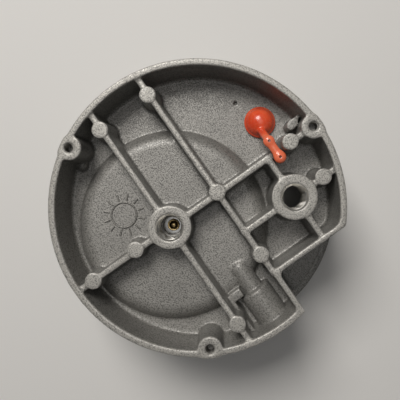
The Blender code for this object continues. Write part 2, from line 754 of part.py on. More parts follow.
def machine_case(case):
    """Faces the rear rim, then cuts the chamber, the ports and the screw holes."""
    cut(case, upright("rim_facing", (0.0, 0.0), RIM_Z, RIM_Z + BODY_RADIUS, BEZEL_RADIUS + OVERRUN))
    seal_seat = upright(
        "seal_seat_cutter", (0.0, CHAMBER_Y), CEILING_Z - OVERRUN, SEAL_SEAT_Z, SEAL_SEAT_RADIUS, steps=FINE
    )
    chamber = upright(
        "chamber_cutter", (0.0, CHAMBER_Y), SEAL_SEAT_Z - OVERRUN, CHAMBER_TOP_Z, CHAMBER_RADIUS, steps=FINE
    )
    boss_top = RIM_Z - PAD_DROP
    centre = port_cutters(
        "centre_port",
        (0.0, CHAMBER_Y, boss_top),
        (0.0, 0.0, -1.0),
        CENTRE_BORE_RADIUS,
        PORT_THREAD_DEPTH,
        boss_top - CHAMBER_TOP_Z + OVERRUN,
    )
    offset_depth = boss_top - CEILING_Z + OVERRUN
    offset = port_cutters(
        "offset_port", (*OFFSET_PORT, boss_top), (0.0, 0.0, -1.0), PORT_RADIUS, offset_depth, offset_depth
    )
    side_mouth = -math.sqrt(RIM_RADIUS**2 - SIDE_PORT_1_Y**2)
    chamber_edge = -math.sqrt(CHAMBER_RADIUS**2 - (CHAMBER_Y - SIDE_PORT_1_Y) ** 2)
    side_1 = port_cutters(
        "side_port_1",
        (side_mouth, SIDE_PORT_1_Y, SIDE_PORT_1_Z),
        (1.0, 0.0, 0.0),
        SIDE_PASSAGE_BORE,
        SIDE_SHOULDER_X - side_mouth - 3 * OVERRUN,
        chamber_edge - side_mouth + OVERRUN,
    )
    side_2 = port_cutters(
        "side_port_2",
        (NOTCH_X, SIDE_PORT_2_Y, SIDE_PORT_2_Z),
        (1.0, 0.0, 0.0),
        PORT_RADIUS,
        SIDE_PORT_2_LENGTH + OVERRUN,
        SIDE_PORT_2_LENGTH + OVERRUN,
    )
    lug_holes = [
        upright(
            f"lug_hole_{index}",
            around(0.0, LUG_CIRCLE_RADIUS, angle),
            RIM_Z - LUG_HOLE_DEPTH,
            RIM_Z + OVERRUN,
            LUG_HOLE_RADIUS,
            steps=SMALL,
        )
        for index, angle in enumerate(LUG_ANGLES)
    ]
    plug_hole = upright(
        "plug_hole", PLUG_PLACE, CEILING_Z - OVERRUN, FLOOR_Z + OVERRUN, PLUG_STEM_RADIUS + GAP, steps=MEDIUM
    )
    cut(case, seal_seat, chamber, *centre, *offset, *side_1, *side_2, *lug_holes, plug_hole)
    drill_screw_holes(case)


def dial_screw_place(index):
    return (DIAL_POST[0] if index == 0 else -DIAL_POST[0], DIAL_POST[1])


def drill_screw_holes(case):
    holes = []
    for index, place in enumerate(retaining_screw_places()):
        holes.append((f"retaining_hole_{index}", place, CEILING_Z - OVERRUN, CEILING_Z + SCREW_HOLE_DEPTH))
    for index, place in enumerate(wishbone_screw_places()):
        holes.append((f"wishbone_hole_{index}", place, CEILING_Z - OVERRUN, CEILING_Z + SCREW_HOLE_DEPTH))
    for index, depth in enumerate(DIAL_HOLE_DEPTHS):
        holes.append((f"dial_hole_{index}", dial_screw_place(index), POST_FRONT_Z - OVERRUN, POST_FRONT_Z + depth))
    for name, place, low, high in holes:
        cut(case, upright(name, place, low, high, HOLE_RADIUS, steps=SMALL))


def make_case():
    case = case_blank()
    hollow_case(case)
    add_dome(case)
    add_ribs(case)
    add_bosses(case)
    machine_case(case)


# ---------------------------------------------------------------- front


def make_bezel():
    corner = BEZEL_EDGE_SHARE * BEZEL_EDGE
    turned(
        "bezel",
        (
            (BEZEL_BORE_RADIUS, BEZEL_DEPTH),
            (BEZEL_RADIUS - BEZEL_REAR_CHAMFER, BEZEL_DEPTH),
            (BEZEL_RADIUS, BEZEL_DEPTH - BEZEL_REAR_CHAMFER),
            (BEZEL_RADIUS, BEZEL_EDGE),
            (BEZEL_RADIUS - corner, corner),
            (BEZEL_RADIUS - BEZEL_EDGE, 0.0),
            (BEZEL_OPENING_RADIUS + BEZEL_OPENING_CHAMFER, 0.0),
            (BEZEL_OPENING_RADIUS, BEZEL_OPENING_CHAMFER),
            (BEZEL_OPENING_RADIUS, BEZEL_LIP),
            (BEZEL_BORE_RADIUS, BEZEL_LIP),
        ),
        material=hammertone_paint(),
    )


def make_cover():
    edge = COVER_CHAMFER
    radius = BEZEL_BORE_RADIUS - THREAD_CLEARANCE
    top = COVER_Z + COVER_THICKNESS
    cover = turned(
        "clear_cover",
        (
            (0.0, top),
            (radius - edge, top),
            (radius, top - edge),
            (radius, COVER_Z + edge),
            (radius - edge, COVER_Z),
            (0.0, COVER_Z),
        ),
        material=clear_acrylic(),
        closed=False,
    )
    hole_radius = ZERO_HEAD_RADIUS + GAP
    cut(cover, upright("cover_hole", (0.0, ZERO_Y), COVER_Z - OVERRUN, top + OVERRUN, hole_radius, steps=MEDIUM))
    ring_z = top + GAP + O_RING_SECTION
    o_ring("cover_o_ring", O_RING_MIDDLE, O_RING_SECTION, ring_z, material=black_rubber())


def make_zero_screw():
    """The head with its O-ring in the cover, a flange behind the cover and the crank pin in the lever's fork."""
    cover_back = COVER_Z + COVER_THICKNESS
    head_front = BEZEL_LIP - ZERO_HEAD_REACH
    flange_low = cover_back + GAP
    flange_high = flange_low + ZERO_FLANGE_THICKNESS
    flange_radius = ZERO_HEAD_RADIUS + ZERO_FLANGE_OVERLAP
    shaft_top = LEVER_Z - ZERO_SHAFT_CLEARANCE
    neck_radius = ZERO_HEAD_RADIUS - ZERO_NECK_DEPTH
    neck_low, neck_high = (COVER_Z + height for height in ZERO_NECK)
    screw = turned(
        "zero_adjust_screw",
        (
            (0.0, shaft_top),
            (ZERO_SHAFT_RADIUS, shaft_top),
            (ZERO_SHAFT_RADIUS, flange_high),
            (flange_radius, flange_high),
            (flange_radius, flange_low),
            (ZERO_HEAD_RADIUS, flange_low),
            (ZERO_HEAD_RADIUS, neck_high),
            (neck_radius, neck_high),
            (neck_radius, neck_low),
            (ZERO_HEAD_RADIUS, neck_low),
            (ZERO_HEAD_RADIUS, head_front + ZERO_HEAD_CHAMFER),
            (ZERO_HEAD_RADIUS - ZERO_HEAD_CHAMFER, head_front),
            (0.0, head_front),
        ),
        place=(0.0, ZERO_Y),
        steps=MEDIUM,
        material=plated_steel(),
        closed=False,
    )
    pin_place = (0.0, ZERO_Y + ZERO_SHAFT_RADIUS - ZERO_PIN_RADIUS - ZERO_PIN_INSET)
    pin_top = LEVER_Z + LEVER_THICKNESS + ZERO_PIN_REACH
    join(screw, upright("zero_pin", pin_place, shaft_top - SINK, pin_top, ZERO_PIN_RADIUS, steps=SMALL))
    slot = box(
        "zero_slot",
        (-ZERO_SLOT_HALF_WIDTH, ZERO_Y - 2 * ZERO_HEAD_RADIUS, head_front - OVERRUN),
        (ZERO_SLOT_HALF_WIDTH, ZERO_Y + 2 * ZERO_HEAD_RADIUS, head_front + ZERO_SLOT_DEPTH),
    )
    cut(screw, slot)
    section = (ZERO_HEAD_RADIUS - neck_radius - GAP) / 2
    o_ring(
        "zero_screw_o_ring",
        neck_radius + GAP + section,
        section,
        (neck_low + neck_high) / 2,
        place=(0.0, ZERO_Y),
        steps=MEDIUM,
        sides=6,
        material=black_rubber(),
    )


def make_dial():
    dial = upright(
        "dial", (0.0, 0.0), DIAL_Z, DIAL_Z + DIAL_THICKNESS, DIAL_RADIUS, steps=FINE, material=white_enamel()
    )
    half = WISHBONE_HALF_WIDTH + DIAL_SLOT_CLEARANCE
    slot = box(
        "dial_slot",
        (-half, WISHBONE_SPINE_Y - DIAL_SLOT_BELOW, DIAL_Z - OVERRUN),
        (half, PIVOT_Y + DIAL_SLOT_ABOVE, DIAL_Z + 2 * OVERRUN),
    )
    low, high = DIAL_Z - OVERRUN, DIAL_Z + 2 * OVERRUN
    zero_hole = upright("dial_zero_hole", (0.0, ZERO_Y), low, high, 2 * ZERO_SHAFT_RADIUS, steps=MEDIUM)
    cut(dial, slot, zero_hole)
    for index, length in enumerate(DIAL_SCREW_LENGTHS):
        place = dial_screw_place(index)
        cut(dial, upright(f"dial_screw_hole_{index}", place, low, high, HOLE_RADIUS, steps=SMALL))
        slotted_screw(f"dial_screw_{index + 1}", place, DIAL_Z - GAP, POST_FRONT_Z + length, plated_steel())


def pointer_place(distance, degrees):
    turn = math.radians(degrees)
    return (distance * math.sin(turn), PIVOT_Y + distance * math.cos(turn))


def make_pointer():
    tip = (*pointer_place(POINTER_LENGTH, POINTER_REST_ANGLE), POINTER_Z)
    neck = (*pointer_place(POINTER_LENGTH - NEEDLE_LENGTH, POINTER_REST_ANGLE), POINTER_Z)
    tail = (*pointer_place(-POINTER_TAIL, POINTER_REST_ANGLE), POINTER_Z)
    pointer = rod("pointer", tail, neck, POINTER_RADIUS, steps=SMALL, material=aluminium())
    root = Vector(neck).lerp(tail, NEEDLE_LAP)
    needle = rod("pointer_needle", root, tip, NEEDLE_SHARE * POINTER_RADIUS, NEEDLE_TIP_RADIUS, steps=NEEDLE_STEPS)
    hub_low, hub_high = POINTER_Z - POINTER_HUB_FRONT, POINTER_Z + POINTER_HUB_REAR
    hub = upright("pointer_hub", (0.0, PIVOT_Y), hub_low, hub_high, POINTER_HUB_RADIUS, steps=MEDIUM)
    bore = upright(
        "pointer_bore",
        (0.0, PIVOT_Y),
        hub_low - OVERRUN,
        hub_high + OVERRUN,
        SHAFT_RADIUS + GAP,
        steps=SMALL,
    )
    join(pointer, needle, hub)
    cut(pointer, bore)
    inner = Vector((*pointer_place(WEIGHT_INSET - POINTER_TAIL, POINTER_REST_ANGLE), POINTER_Z))
    outer = Vector((*pointer_place(WEIGHT_INSET + WEIGHT_LENGTH - POINTER_TAIL, POINTER_REST_ANGLE), POINTER_Z))
    weight = rod("pointer_counterweight", inner, outer, WEIGHT_RADIUS, steps=SMALL, material=brass())
    along = outer - inner
    weight_bore = rod("weight_bore", inner - along, outer + along, POINTER_RADIUS + GAP, steps=SMALL)
    cut(weight, weight_bore)
    for name, angle in (("pointer_stop_left", STOP_ANGLE), ("pointer_stop_right", -STOP_ANGLE)):
        place = pointer_place(STOP_DISTANCE, angle)
        low = POINTER_Z - POINTER_RADIUS - STOP_REACH
        upright(name, place, low, DIAL_Z - GAP, STOP_RADIUS, STOP_FLARE * STOP_RADIUS, SMALL, black_rubber())


# ---------------------------------------------------------------- movement


def make_helix():
    """A ribbon of magnetic alloy twisted round its hub."""
    low, high = HELIX_Z
    bm = bmesh.new()
    bmesh.ops.create_cube(bm, size=1.0)
    bmesh.ops.scale(bm, vec=(2 * HELIX_RADIUS, HELIX_THICKNESS, high - low), verts=bm.verts)
    uprights = [edge for edge in bm.edges if abs(edge.verts[0].co.z - edge.verts[1].co.z) > 0.5 * (high - low)]
    bmesh.ops.subdivide_edges(bm, edges=uprights, cuts=11)
    helix = link_object("helix", bm, spring_steel(), parts)
    helix.location = (0.0, PIVOT_Y, (low + high) / 2)
    twist = helix.modifiers.new("twist", "SIMPLE_DEFORM")
    twist.deform_method = "TWIST"
    twist.deform_axis = "Z"
    twist.angle = math.radians(HELIX_TWIST)
    place = (0.0, PIVOT_Y)
    join(helix, upright("helix_hub", place, low - HELIX_HUB_REACH, high + HELIX_HUB_REACH, HELIX_HUB_RADIUS, steps=SMALL))
    bore_radius = SHAFT_RADIUS + GAP
    cut(helix, upright("helix_bore", place, low - 2 * HELIX_HUB_REACH, high + 2 * HELIX_HUB_REACH, bore_radius, steps=SMALL))


def make_bearings():
    place = (0.0, PIVOT_Y)
    front_low = WISHBONE_FRONT_Z - FRONT_JEWEL_REACH
    front_high = WISHBONE_FRONT_Z + WISHBONE_THICKNESS + JEWEL_REACH
    rear_low = WISHBONE_REAR_Z - REAR_JEWEL_REACH
    rear_high = WISHBONE_REAR_Z + WISHBONE_THICKNESS + JEWEL_REACH
    upright("front_bearing", place, front_low, front_high, JEWEL_RADIUS, steps=SMALL, material=jewel())
    upright("rear_bearing", place, rear_low, rear_high, JEWEL_RADIUS, steps=SMALL, material=jewel())
    low, high = front_high + GAP, rear_low - GAP
    upright("helix_shaft", place, low, high, SHAFT_RADIUS, steps=SMALL, material=plated_steel())


def wishbone_screw_places():
    y = LEVER_PIVOT_Y - WISHBONE_SCREW_SHIFT
    return ((-WISHBONE_SCREW_X, y), (WISHBONE_SCREW_X, y))


def make_wishbone():
    """The bracket that carries both jewels, with a foot on the case and a shelf for the zero lever."""
    thick = WISHBONE_THICKNESS
    half = WISHBONE_HALF_WIDTH
    spine_back = WISHBONE_SPINE_Y - thick / 2
    spine_front = WISHBONE_SPINE_Y + thick / 2
    foot_high = CEILING_Z - GAP
    foot_low = foot_high - thick
    foot_end = LEVER_PIVOT_Y - WISHBONE_FOOT_REACH
    foot_half = WISHBONE_FOOT_HALF_WIDTH
    frame = box(
        "wishbone", (-half, spine_back, WISHBONE_FRONT_Z), (half, spine_front, foot_high), plated_steel()
    )
    shelf_z = LEVER_Z + LEVER_THICKNESS + SHELF_CLEARANCE
    pieces = [
        box(
            "wishbone_foot",
            (-foot_half, foot_end, foot_low),
            (foot_half, spine_front + WISHBONE_FOOT_HEEL, foot_high),
        ),
        box(
            "wishbone_shelf",
            (-half - SHELF_OVERHANG, LEVER_PIVOT_Y - SHELF_REACH, shelf_z),
            (half + SHELF_OVERHANG, spine_back + LAP, shelf_z + thick),
        ),
    ]
    jewel_holes = []
    for name, z in (("front_arm", WISHBONE_FRONT_Z), ("rear_arm", WISHBONE_REAR_Z)):
        low = z + STEP if name == "front_arm" else z
        arm_low = (-half + STEP, spine_back + ARM_LAP, low)
        pieces.append(box(name, arm_low, (half - STEP, PIVOT_Y, low + thick)))
        pieces.append(upright(f"{name}_end", (0.0, PIVOT_Y), low, low + thick, half - 2 * STEP, steps=MEDIUM))
        hole_low, hole_high = z - OVERRUN, z + thick + OVERRUN
        jewel_holes.append(
            upright(f"{name}_hole", (0.0, PIVOT_Y), hole_low, hole_high, JEWEL_RADIUS + GAP, steps=SMALL)
        )
    join(frame, *pieces)
    cut(frame, *jewel_holes)
    pivot = (0.0, LEVER_PIVOT_Y)
    cut(frame, upright("shelf_hole", pivot, shelf_z - OVERRUN, shelf_z + 2 * thick, HOLE_RADIUS, steps=SMALL))
    for index, place in enumerate(wishbone_screw_places()):
        low, high = foot_low - OVERRUN, foot_high + OVERRUN
        cut(frame, upright(f"foot_hole_{index}", place, low, high, HOLE_RADIUS, steps=SMALL))
        slotted_screw(f"wishbone_screw_{index + 1}", place, foot_low - GAP, CEILING_Z + SCREW_BITE, plated_steel())
    slotted_screw("lever_pivot_screw", pivot, LEVER_Z - GAP, shelf_z + thick, plated_steel())


def make_zero_lever():
    half = LEVER_HALF_WIDTH
    end = ZERO_Y - LEVER_REACH
    lever = box(
        "zero_lever",
        (-half, end, LEVER_Z),
        (half, LEVER_PIVOT_Y, LEVER_Z + LEVER_THICKNESS),
        spring_steel(),
    )
    low, high = LEVER_Z, LEVER_Z + LEVER_THICKNESS
    join(lever, upright("lever_eye", (0.0, LEVER_PIVOT_Y), low, high, half + LEVER_EYE_MARGIN, steps=MEDIUM))
    fork_half = 2 * ZERO_PIN_RADIUS
    fork_top = ZERO_Y + ZERO_SHAFT_RADIUS + FORK_CLEARANCE
    fork = box("lever_fork", (-fork_half, end - OVERRUN, low - OVERRUN), (fork_half, fork_top, high + OVERRUN))
    eye = upright("lever_eye_hole", (0.0, LEVER_PIVOT_Y), low - OVERRUN, high + OVERRUN, HOLE_RADIUS, steps=SMALL)
    cut(lever, fork, eye)
    set_axis(lever, (0.0, LEVER_PIVOT_Y, LEVER_Z))


def make_range_spring():
    """The leaf spring, and the magnet on a bracket at its free end."""
    clamp_end = CLAMP_Y + CLAMP_HALF_LENGTH
    top = SPRING_Z + SPRING_THICKNESS
    spring = box(
        "range_spring",
        (-SPRING_HALF_WIDTH, SPRING_END_Y, SPRING_Z),
        (SPRING_HALF_WIDTH, clamp_end, top),
        spring_steel(),
    )
    hole_radius = LINK_RADIUS + SPRING_HOLE_CLEARANCE
    hole = upright("spring_hole", (0.0, CHAMBER_Y), SPRING_Z - OVERRUN, top + OVERRUN, hole_radius, steps=SMALL)
    cut(spring, hole)
    set_axis(spring, (0.0, CLAMP_Y, SPRING_CENTRE_Z))
    bracket_high = SPRING_Z - GAP
    bracket_low = bracket_high - WISHBONE_THICKNESS
    bracket = box(
        "magnet_bracket",
        (-MAGNET_HALF_WIDTH - BRACKET_OVERHANG, SPRING_END_Y, bracket_low),
        (MAGNET_HALF_WIDTH + BRACKET_OVERHANG, SPRING_END_Y + BRACKET_LENGTH, bracket_high),
        plated_steel(),
    )
    leg = box(
        "bracket_leg",
        (-MAGNET_HALF_WIDTH, SPRING_END_Y - STEP, MAGNET_Z[0]),
        (MAGNET_HALF_WIDTH, SPRING_END_Y + WISHBONE_THICKNESS, bracket_low + LAP),
    )
    join(bracket, leg)
    magnet_back = SPRING_END_Y - STEP - GAP
    magnet = box(
        "magnet",
        (-MAGNET_HALF_WIDTH, magnet_back - MAGNET_LENGTH, MAGNET_Z[0]),
        (MAGNET_HALF_WIDTH, magnet_back, MAGNET_Z[1]),
        magnet_alloy(),
    )
    half = THROAT_WIDTH_SHARE * MAGNET_HALF_WIDTH
    throat = box(
        "magnet_throat",
        (-half, magnet_back - 2 * MAGNET_LENGTH, MAGNET_Z[0] - OVERRUN),
        (half, magnet_back - THROAT_DEPTH_SHARE * MAGNET_LENGTH, MAGNET_Z[1] + OVERRUN),
    )
    cut(magnet, throat)


def make_spring_clamp():
    near, far = CLAMP_Y - CLAMP_HALF_LENGTH, CLAMP_Y + CLAMP_HALF_LENGTH
    base_low = SPRING_Z + SPRING_THICKNESS + GAP
    base_high = RETAINING_Z - GAP
    plate_high = SPRING_Z - GAP
    plate_low = plate_high - CLAMP_PLATE
    half = CLAMP_HALF_WIDTH
    base = box("spring_clamp_base", (-half, near, base_low), (half, far, base_high), aluminium())
    plate = box("spring_clamp_plate", (-half, near, plate_low), (half, far, plate_high), aluminium())
    hole_top = base_high - CLAMP_CAP
    for index, side in enumerate((-1, 1)):
        place = (side * CLAMP_SCREW_X, CLAMP_Y)
        hole = upright(f"clamp_hole_{index}", place, plate_low - OVERRUN, hole_top, HOLE_RADIUS, steps=SMALL)
        cut(base, hole)
        cut(plate, hole)
        slotted_screw(f"clamp_screw_{index + 1}", place, plate_low - GAP, hole_top - GAP, plated_steel())


# ---------------------------------------------------------------- diaphragm


def make_diaphragm():
    """A silicone membrane with its sealing bead moulded round it."""
    outer = SEAL_SEAT_RADIUS - GAP
    inner = outer - BEAD_WIDTH
    top = DIAPHRAGM_Z + DIAPHRAGM_THICKNESS
    hole = LINK_RADIUS + GAP
    turned(
        "diaphragm",
        (
            (hole, top),
            (inner, top),
            (inner, BEAD_Z + BEAD_HEIGHT),
            (outer, BEAD_Z + BEAD_HEIGHT),
            (outer, BEAD_Z),
            (inner, BEAD_Z),
            (inner, DIAPHRAGM_Z),
            (hole, DIAPHRAGM_Z),
        ),
        place=(0.0, CHAMBER_Y),
        steps=BROAD,
        material=grey_silicone(),
    )
    place = (0.0, CHAMBER_Y)
    rear_low = top + GAP
    front_high = DIAPHRAGM_Z - GAP
    rear_high = rear_low + PLATE_THICKNESS
    ring("rear_diaphragm_plate", hole, PLATE_RADIUS, rear_low, rear_high, place, BROAD, aluminium())
    ring(
        "front_diaphragm_plate", hole, PLATE_RADIUS, front_high - PLATE_THICKNESS, front_high, place, BROAD, aluminium()
    )
    make_diaphragm_link(rear_high + GAP)


def make_diaphragm_link(head_low):
    """The rivet through the plates, the rod to the range spring and the nut in front of the spring."""
    head_high = head_low + RIVET_HEAD_HEIGHT
    shoulder_low = SPRING_Z + SPRING_THICKNESS + LINK_PLAY
    shoulder_high = shoulder_low + LINK_SHOULDER
    nut_high = SPRING_Z - LINK_PLAY
    nut_low = nut_high - LINK_NUT_HEIGHT
    nut_radius = LINK_NUT_SHARE * LINK_RADIUS
    tip_radius = RIVET_TIP_SHARE * RIVET_RADIUS
    turned(
        "diaphragm_link",
        (
            (0.0, head_high + RIVET_TIP_HEIGHT),
            (tip_radius, head_high + RIVET_TIP_SHOULDER),
            (tip_radius, head_high),
            (RIVET_RADIUS, head_high),
            (RIVET_RADIUS, head_low),
            (LINK_RADIUS, head_low),
            (LINK_RADIUS, shoulder_high),
            (nut_radius, shoulder_high),
            (nut_radius, shoulder_low),
            (LINK_RADIUS, shoulder_low),
            (LINK_RADIUS, nut_high),
            (nut_radius, nut_high),
            (nut_radius, nut_low),
            (0.0, nut_low),
        ),
        place=(0.0, CHAMBER_Y),
        steps=SMALL,
        material=brass(),
        closed=False,
    )


def retaining_screw_places():
    return [around(CHAMBER_Y, RETAINING_SCREW_CIRCLE, 45.0 + 90.0 * quarter) for quarter in range(4)]


def make_diaphragm_retainer():
    place = (0.0, CHAMBER_Y)
    ring(
        "sealing_plate",
        SEALING_PLATE_HOLE,
        SEAL_SEAT_RADIUS - GAP,
        SEALING_PLATE_Z,
        SEALING_PLATE_Z + SEALING_PLATE_THICKNESS,
        place,
        BROAD,
        plated_steel(),
    )
    high = RETAINING_Z + RETAINING_THICKNESS
    retainer = ring(
        "retaining_ring", RETAINING_HOLE, RETAINING_RADIUS, RETAINING_Z, high, place, BROAD, plated_steel()
    )
    for index, screw_place in enumerate(retaining_screw_places()):
        low = RETAINING_Z - OVERRUN
        cut(retainer, upright(f"ring_hole_{index}", screw_place, low, high + OVERRUN, HOLE_RADIUS, steps=SMALL))
        tip = CEILING_Z + SCREW_BITE
        slotted_screw(f"retaining_screw_{index + 1}", screw_place, RETAINING_Z - GAP, tip, plated_steel())


# ---------------------------------------------------------------- relief plug


def make_relief_plug():
    """A soft plug in the pocket floor, with a pull tail laid over the rib beside it."""
    seat = FLOOR_Z + GAP
    flange_radius = PLUG_HEAD_RADIUS
    head = PLUG_HEAD_HEIGHT
    dome_radius = flange_radius - PLUG_FLANGE_STEP
    dome = [
        (dome_radius * math.cos(turn), seat + PLUG_DOME_BASE + (head - PLUG_DOME_BASE) * math.sin(turn))
        for turn in (step * math.pi / 2 / PLUG_DOME_STEPS for step in range(PLUG_DOME_STEPS))
    ]
    plug = turned(
        "relief_plug",
        [(0.0, seat + head)]
        + dome[::-1]
        + [
            (flange_radius, seat + PLUG_FLANGE_HEIGHT),
            (flange_radius, seat),
            (PLUG_STEM_RADIUS, seat),
            (PLUG_STEM_RADIUS, CEILING_Z - PLUG_STEM_REACH),
            (0.0, CEILING_Z - PLUG_STEM_REACH),
        ],
        place=PLUG_PLACE,
        steps=MEDIUM,
        material=red_silicone(),
        closed=False,
    )
    gap_floor = RIM_Z - TAIL_GAP_DEPTH
    tail_z = gap_floor + PLUG_BULB_RADIUS + GAP
    near_x, far_x = PLUG_BULBS_X
    start_x = PLUG_PLACE[0] - PLUG_NECK_SIDE_SHARE * dome_radius
    start = (start_x, PLUG_TAIL_Y - PLUG_NECK_SHIFT, seat + PLUG_NECK_HEIGHT_SHARE * head)
    near = (near_x, PLUG_TAIL_Y, tail_z)
    far = (far_x, PLUG_TAIL_Y, tail_z)
    join(
        plug,
        rod("tail_neck", start, near, PLUG_TAIL_RADIUS, steps=SMALL),
        rod("tail_strap", near, far, PLUG_TAIL_RADIUS, steps=SMALL),
        ball("near_bulb", near, PLUG_BULB_RADIUS),
        ball("far_bulb", far, PLUG_BULB_RADIUS),
    )


def main():
    global parts, helpers
    clear_scene()
    parts = new_collection("differential_pressure_gauge")
    helpers = new_collection("cutters")
    make_case()
    make_bezel()
    make_cover()
    make_zero_screw()
    make_dial()
    make_pointer()
    make_helix()
    make_bearings()
    make_wishbone()
    make_zero_lever()
    make_range_spring()
    make_spring_clamp()
    make_diaphragm()
    make_diaphragm_retainer()
    make_relief_plug()


main()
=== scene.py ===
"""Looks of the round differential pressure gauge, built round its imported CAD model.

Units: the frame is in metres. Casting sizes below are in millimetres and are scaled once, where a mesh is made.
"""

import json
import math

import bmesh
import bpy
import numpy as np
from mathutils import Matrix, Vector


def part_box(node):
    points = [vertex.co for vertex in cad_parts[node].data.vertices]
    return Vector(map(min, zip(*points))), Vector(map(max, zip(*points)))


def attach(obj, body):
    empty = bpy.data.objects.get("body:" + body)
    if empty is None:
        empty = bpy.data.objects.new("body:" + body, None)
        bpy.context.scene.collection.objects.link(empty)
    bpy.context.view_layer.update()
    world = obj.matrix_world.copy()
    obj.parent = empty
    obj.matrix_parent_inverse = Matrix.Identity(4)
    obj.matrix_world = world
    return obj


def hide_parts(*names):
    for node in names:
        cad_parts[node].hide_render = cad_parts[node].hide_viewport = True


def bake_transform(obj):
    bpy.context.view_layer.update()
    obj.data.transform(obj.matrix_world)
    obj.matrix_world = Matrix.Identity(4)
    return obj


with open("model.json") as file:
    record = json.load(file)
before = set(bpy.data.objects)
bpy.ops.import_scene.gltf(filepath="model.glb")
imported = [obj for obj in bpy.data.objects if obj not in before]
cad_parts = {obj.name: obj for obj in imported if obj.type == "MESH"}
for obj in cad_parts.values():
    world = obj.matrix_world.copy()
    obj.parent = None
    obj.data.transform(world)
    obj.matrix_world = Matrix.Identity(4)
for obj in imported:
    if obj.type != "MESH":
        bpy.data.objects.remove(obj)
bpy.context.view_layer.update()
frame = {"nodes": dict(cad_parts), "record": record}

MM = 0.001

# ---------------------------------------------------------------- sizes of the casting, in millimetres

RIM_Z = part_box("case")[1].z / MM
FRONT_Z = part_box("case")[0].z / MM
BEZEL_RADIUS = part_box("bezel")[1].x / MM
BEZEL_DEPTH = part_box("bezel")[1].z / MM
SHOULDER_Z = BEZEL_DEPTH + 0.3
BODY_RADIUS = 57.15
NECK_RADIUS = 56.0
RIM_RADIUS = 55.25
RIM_WALL = 2.45
POCKET_RADIUS = RIM_RADIUS - RIM_WALL
POCKET_DRAFT = 1.0
FLOOR_Z = RIM_Z - 16.5
CEILING_Z = FLOOR_Z - 2.56
BOWL_RADIUS = 52.4
BOWL_DRAFT = 0.8
RIB_Z = RIM_Z - 0.8
PAD_Z = RIM_Z - 0.5
RIB_WIDTH = 2.3
RIB_DRAFT = 0.5
PAD_RADIUS = 3.1
NOTCH = (-37.0, -10.6)
NOTCH_WALL = 2.0
NOTCH_FLOOR = 16.5
NOTCH_FLOOR_THICKNESS = 2.5
DOME_Y = 12.7
DOME_RADIUS = 37.5
DOME_Z = FLOOR_Z + 5.5
DOME_DRAFT = 0.35
SEAT_RADIUS = 34.8
SEAT_Z = CEILING_Z + 3.1
CHAMBER_RADIUS = 31.5
CHAMBER_Z = DOME_Z - 2.5
LUG_CIRCLE = 52.39
LUG_RADIUS = 4.6
LUG_HOLE_RADIUS = 1.75
LUG_HOLE_DEPTH = 4.76
LUG_ANGLES = (-90.0, 30.0, 150.0)
RIB_Y = (12.7, -9.2, -31.75)
OFFSET_X = -17.46
CENTRE_BOSS_RADIUS = 8.1
OFFSET_BOSS_RADIUS = 8.55
PORT_RADIUS = 4.3
PORT_MOUTH_RADIUS = 5.15
LINING = 0.75
CENTRE_BORE_RADIUS = 3.4
SIDE_BOSS = (1.0, RIM_Z - 13.49, 6.3)  # y and z of its axis, and its radius
SIDE_SHOULDER_X = -39.0
SIDE_THREAD_END_X = -43.0
SIDE_PASSAGE_RADIUS = 4.0
SIDE_PASSAGE_BORE = 2.1
SIDE_PASSAGE_END_X = -26.0
SIDE_BORE_END_X = -28.0
SIDE_PORT_2 = (-20.0, 28.5)  # y and z of its axis
SIDE_PORT_2_BOSS = (-32.0, 4.0)  # its middle along x, and half its length
SIDE_PORT_2_BORE = (-33.0, 6.0)
CENTRE_THREAD_DEPTH = 9.4
OFFSET_THREAD_DEPTH = 14.0
THREAD_PITCH = 25.4 / 27
THREAD_DEPTH = 0.55
LUG_THREAD_PITCH = 0.794
LUG_THREAD_DEPTH = 0.28
LUG_THREAD_TOP = 0.9
COUNTERSINK = 0.4
DIMPLE = (25.8, -35.7)
DIMPLE_RADIUS = 0.75
DIMPLE_DEPTH = 1.5
DIAL_POST = (38.0, -22.0)
DIAL_POST_RADIUS = 3.0
DIAL_POST_FRONT_Z = 13.1

# Small cast shapes round the side port and by the lugs
LEAF_ROOT = (5.2, -47.0)
LEAF_MIDDLE = (5.5, -48.0)
LEAF_TIP = (6.7, -51.4)
LEAF_Z = RIM_Z - 7.5
DOME_BOSS = (40.5, 29.0)
DOME_BOSS_RADIUS = 2.2
LEDGE = (-43.7, 10.9)
LEDGE_HALF = (8.8, 1.3)
LEDGE_Z = RIM_Z - 8.6
BLOCK = (-36.4, 7.6)
BLOCK_HALF = (1.8, 2.2)
BLOCK_Z = RIM_Z - 8.4

# Relief plug, and the gap in the rib where its tail lies
PLUG = (13.8, -39.1)
PLUG_SEAT_Z = FLOOR_Z + 0.3
PLUG_HOLE_RADIUS = 4.0
PLUG_STEM_RADIUS = 3.7
PLUG_STEM_REACH = 1.5
PLUG_FLANGE_RADIUS = 6.2
PLUG_DOME_RADIUS = 6.0
PLUG_DOME_DROP = 0.9
TAIL_Y = -36.3
TAIL_Z = RIM_Z - 4.8
TAIL_FLATNESS = 1.5
TAIL_BULBS = ((5.2, 2.0), (-2.2, 2.35))  # x and radius of each
TAIL_HALF_WIDTHS = (1.55, 1.65)
TAIL_DIMPLE_RADIUS = 0.6
TAIL_GAP_DEPTH = 8.0
TAIL_GAP_END_Y = -39.0
TAIL_GAP_WALL = ((0.0, -40.0), (0.0, -32.0))

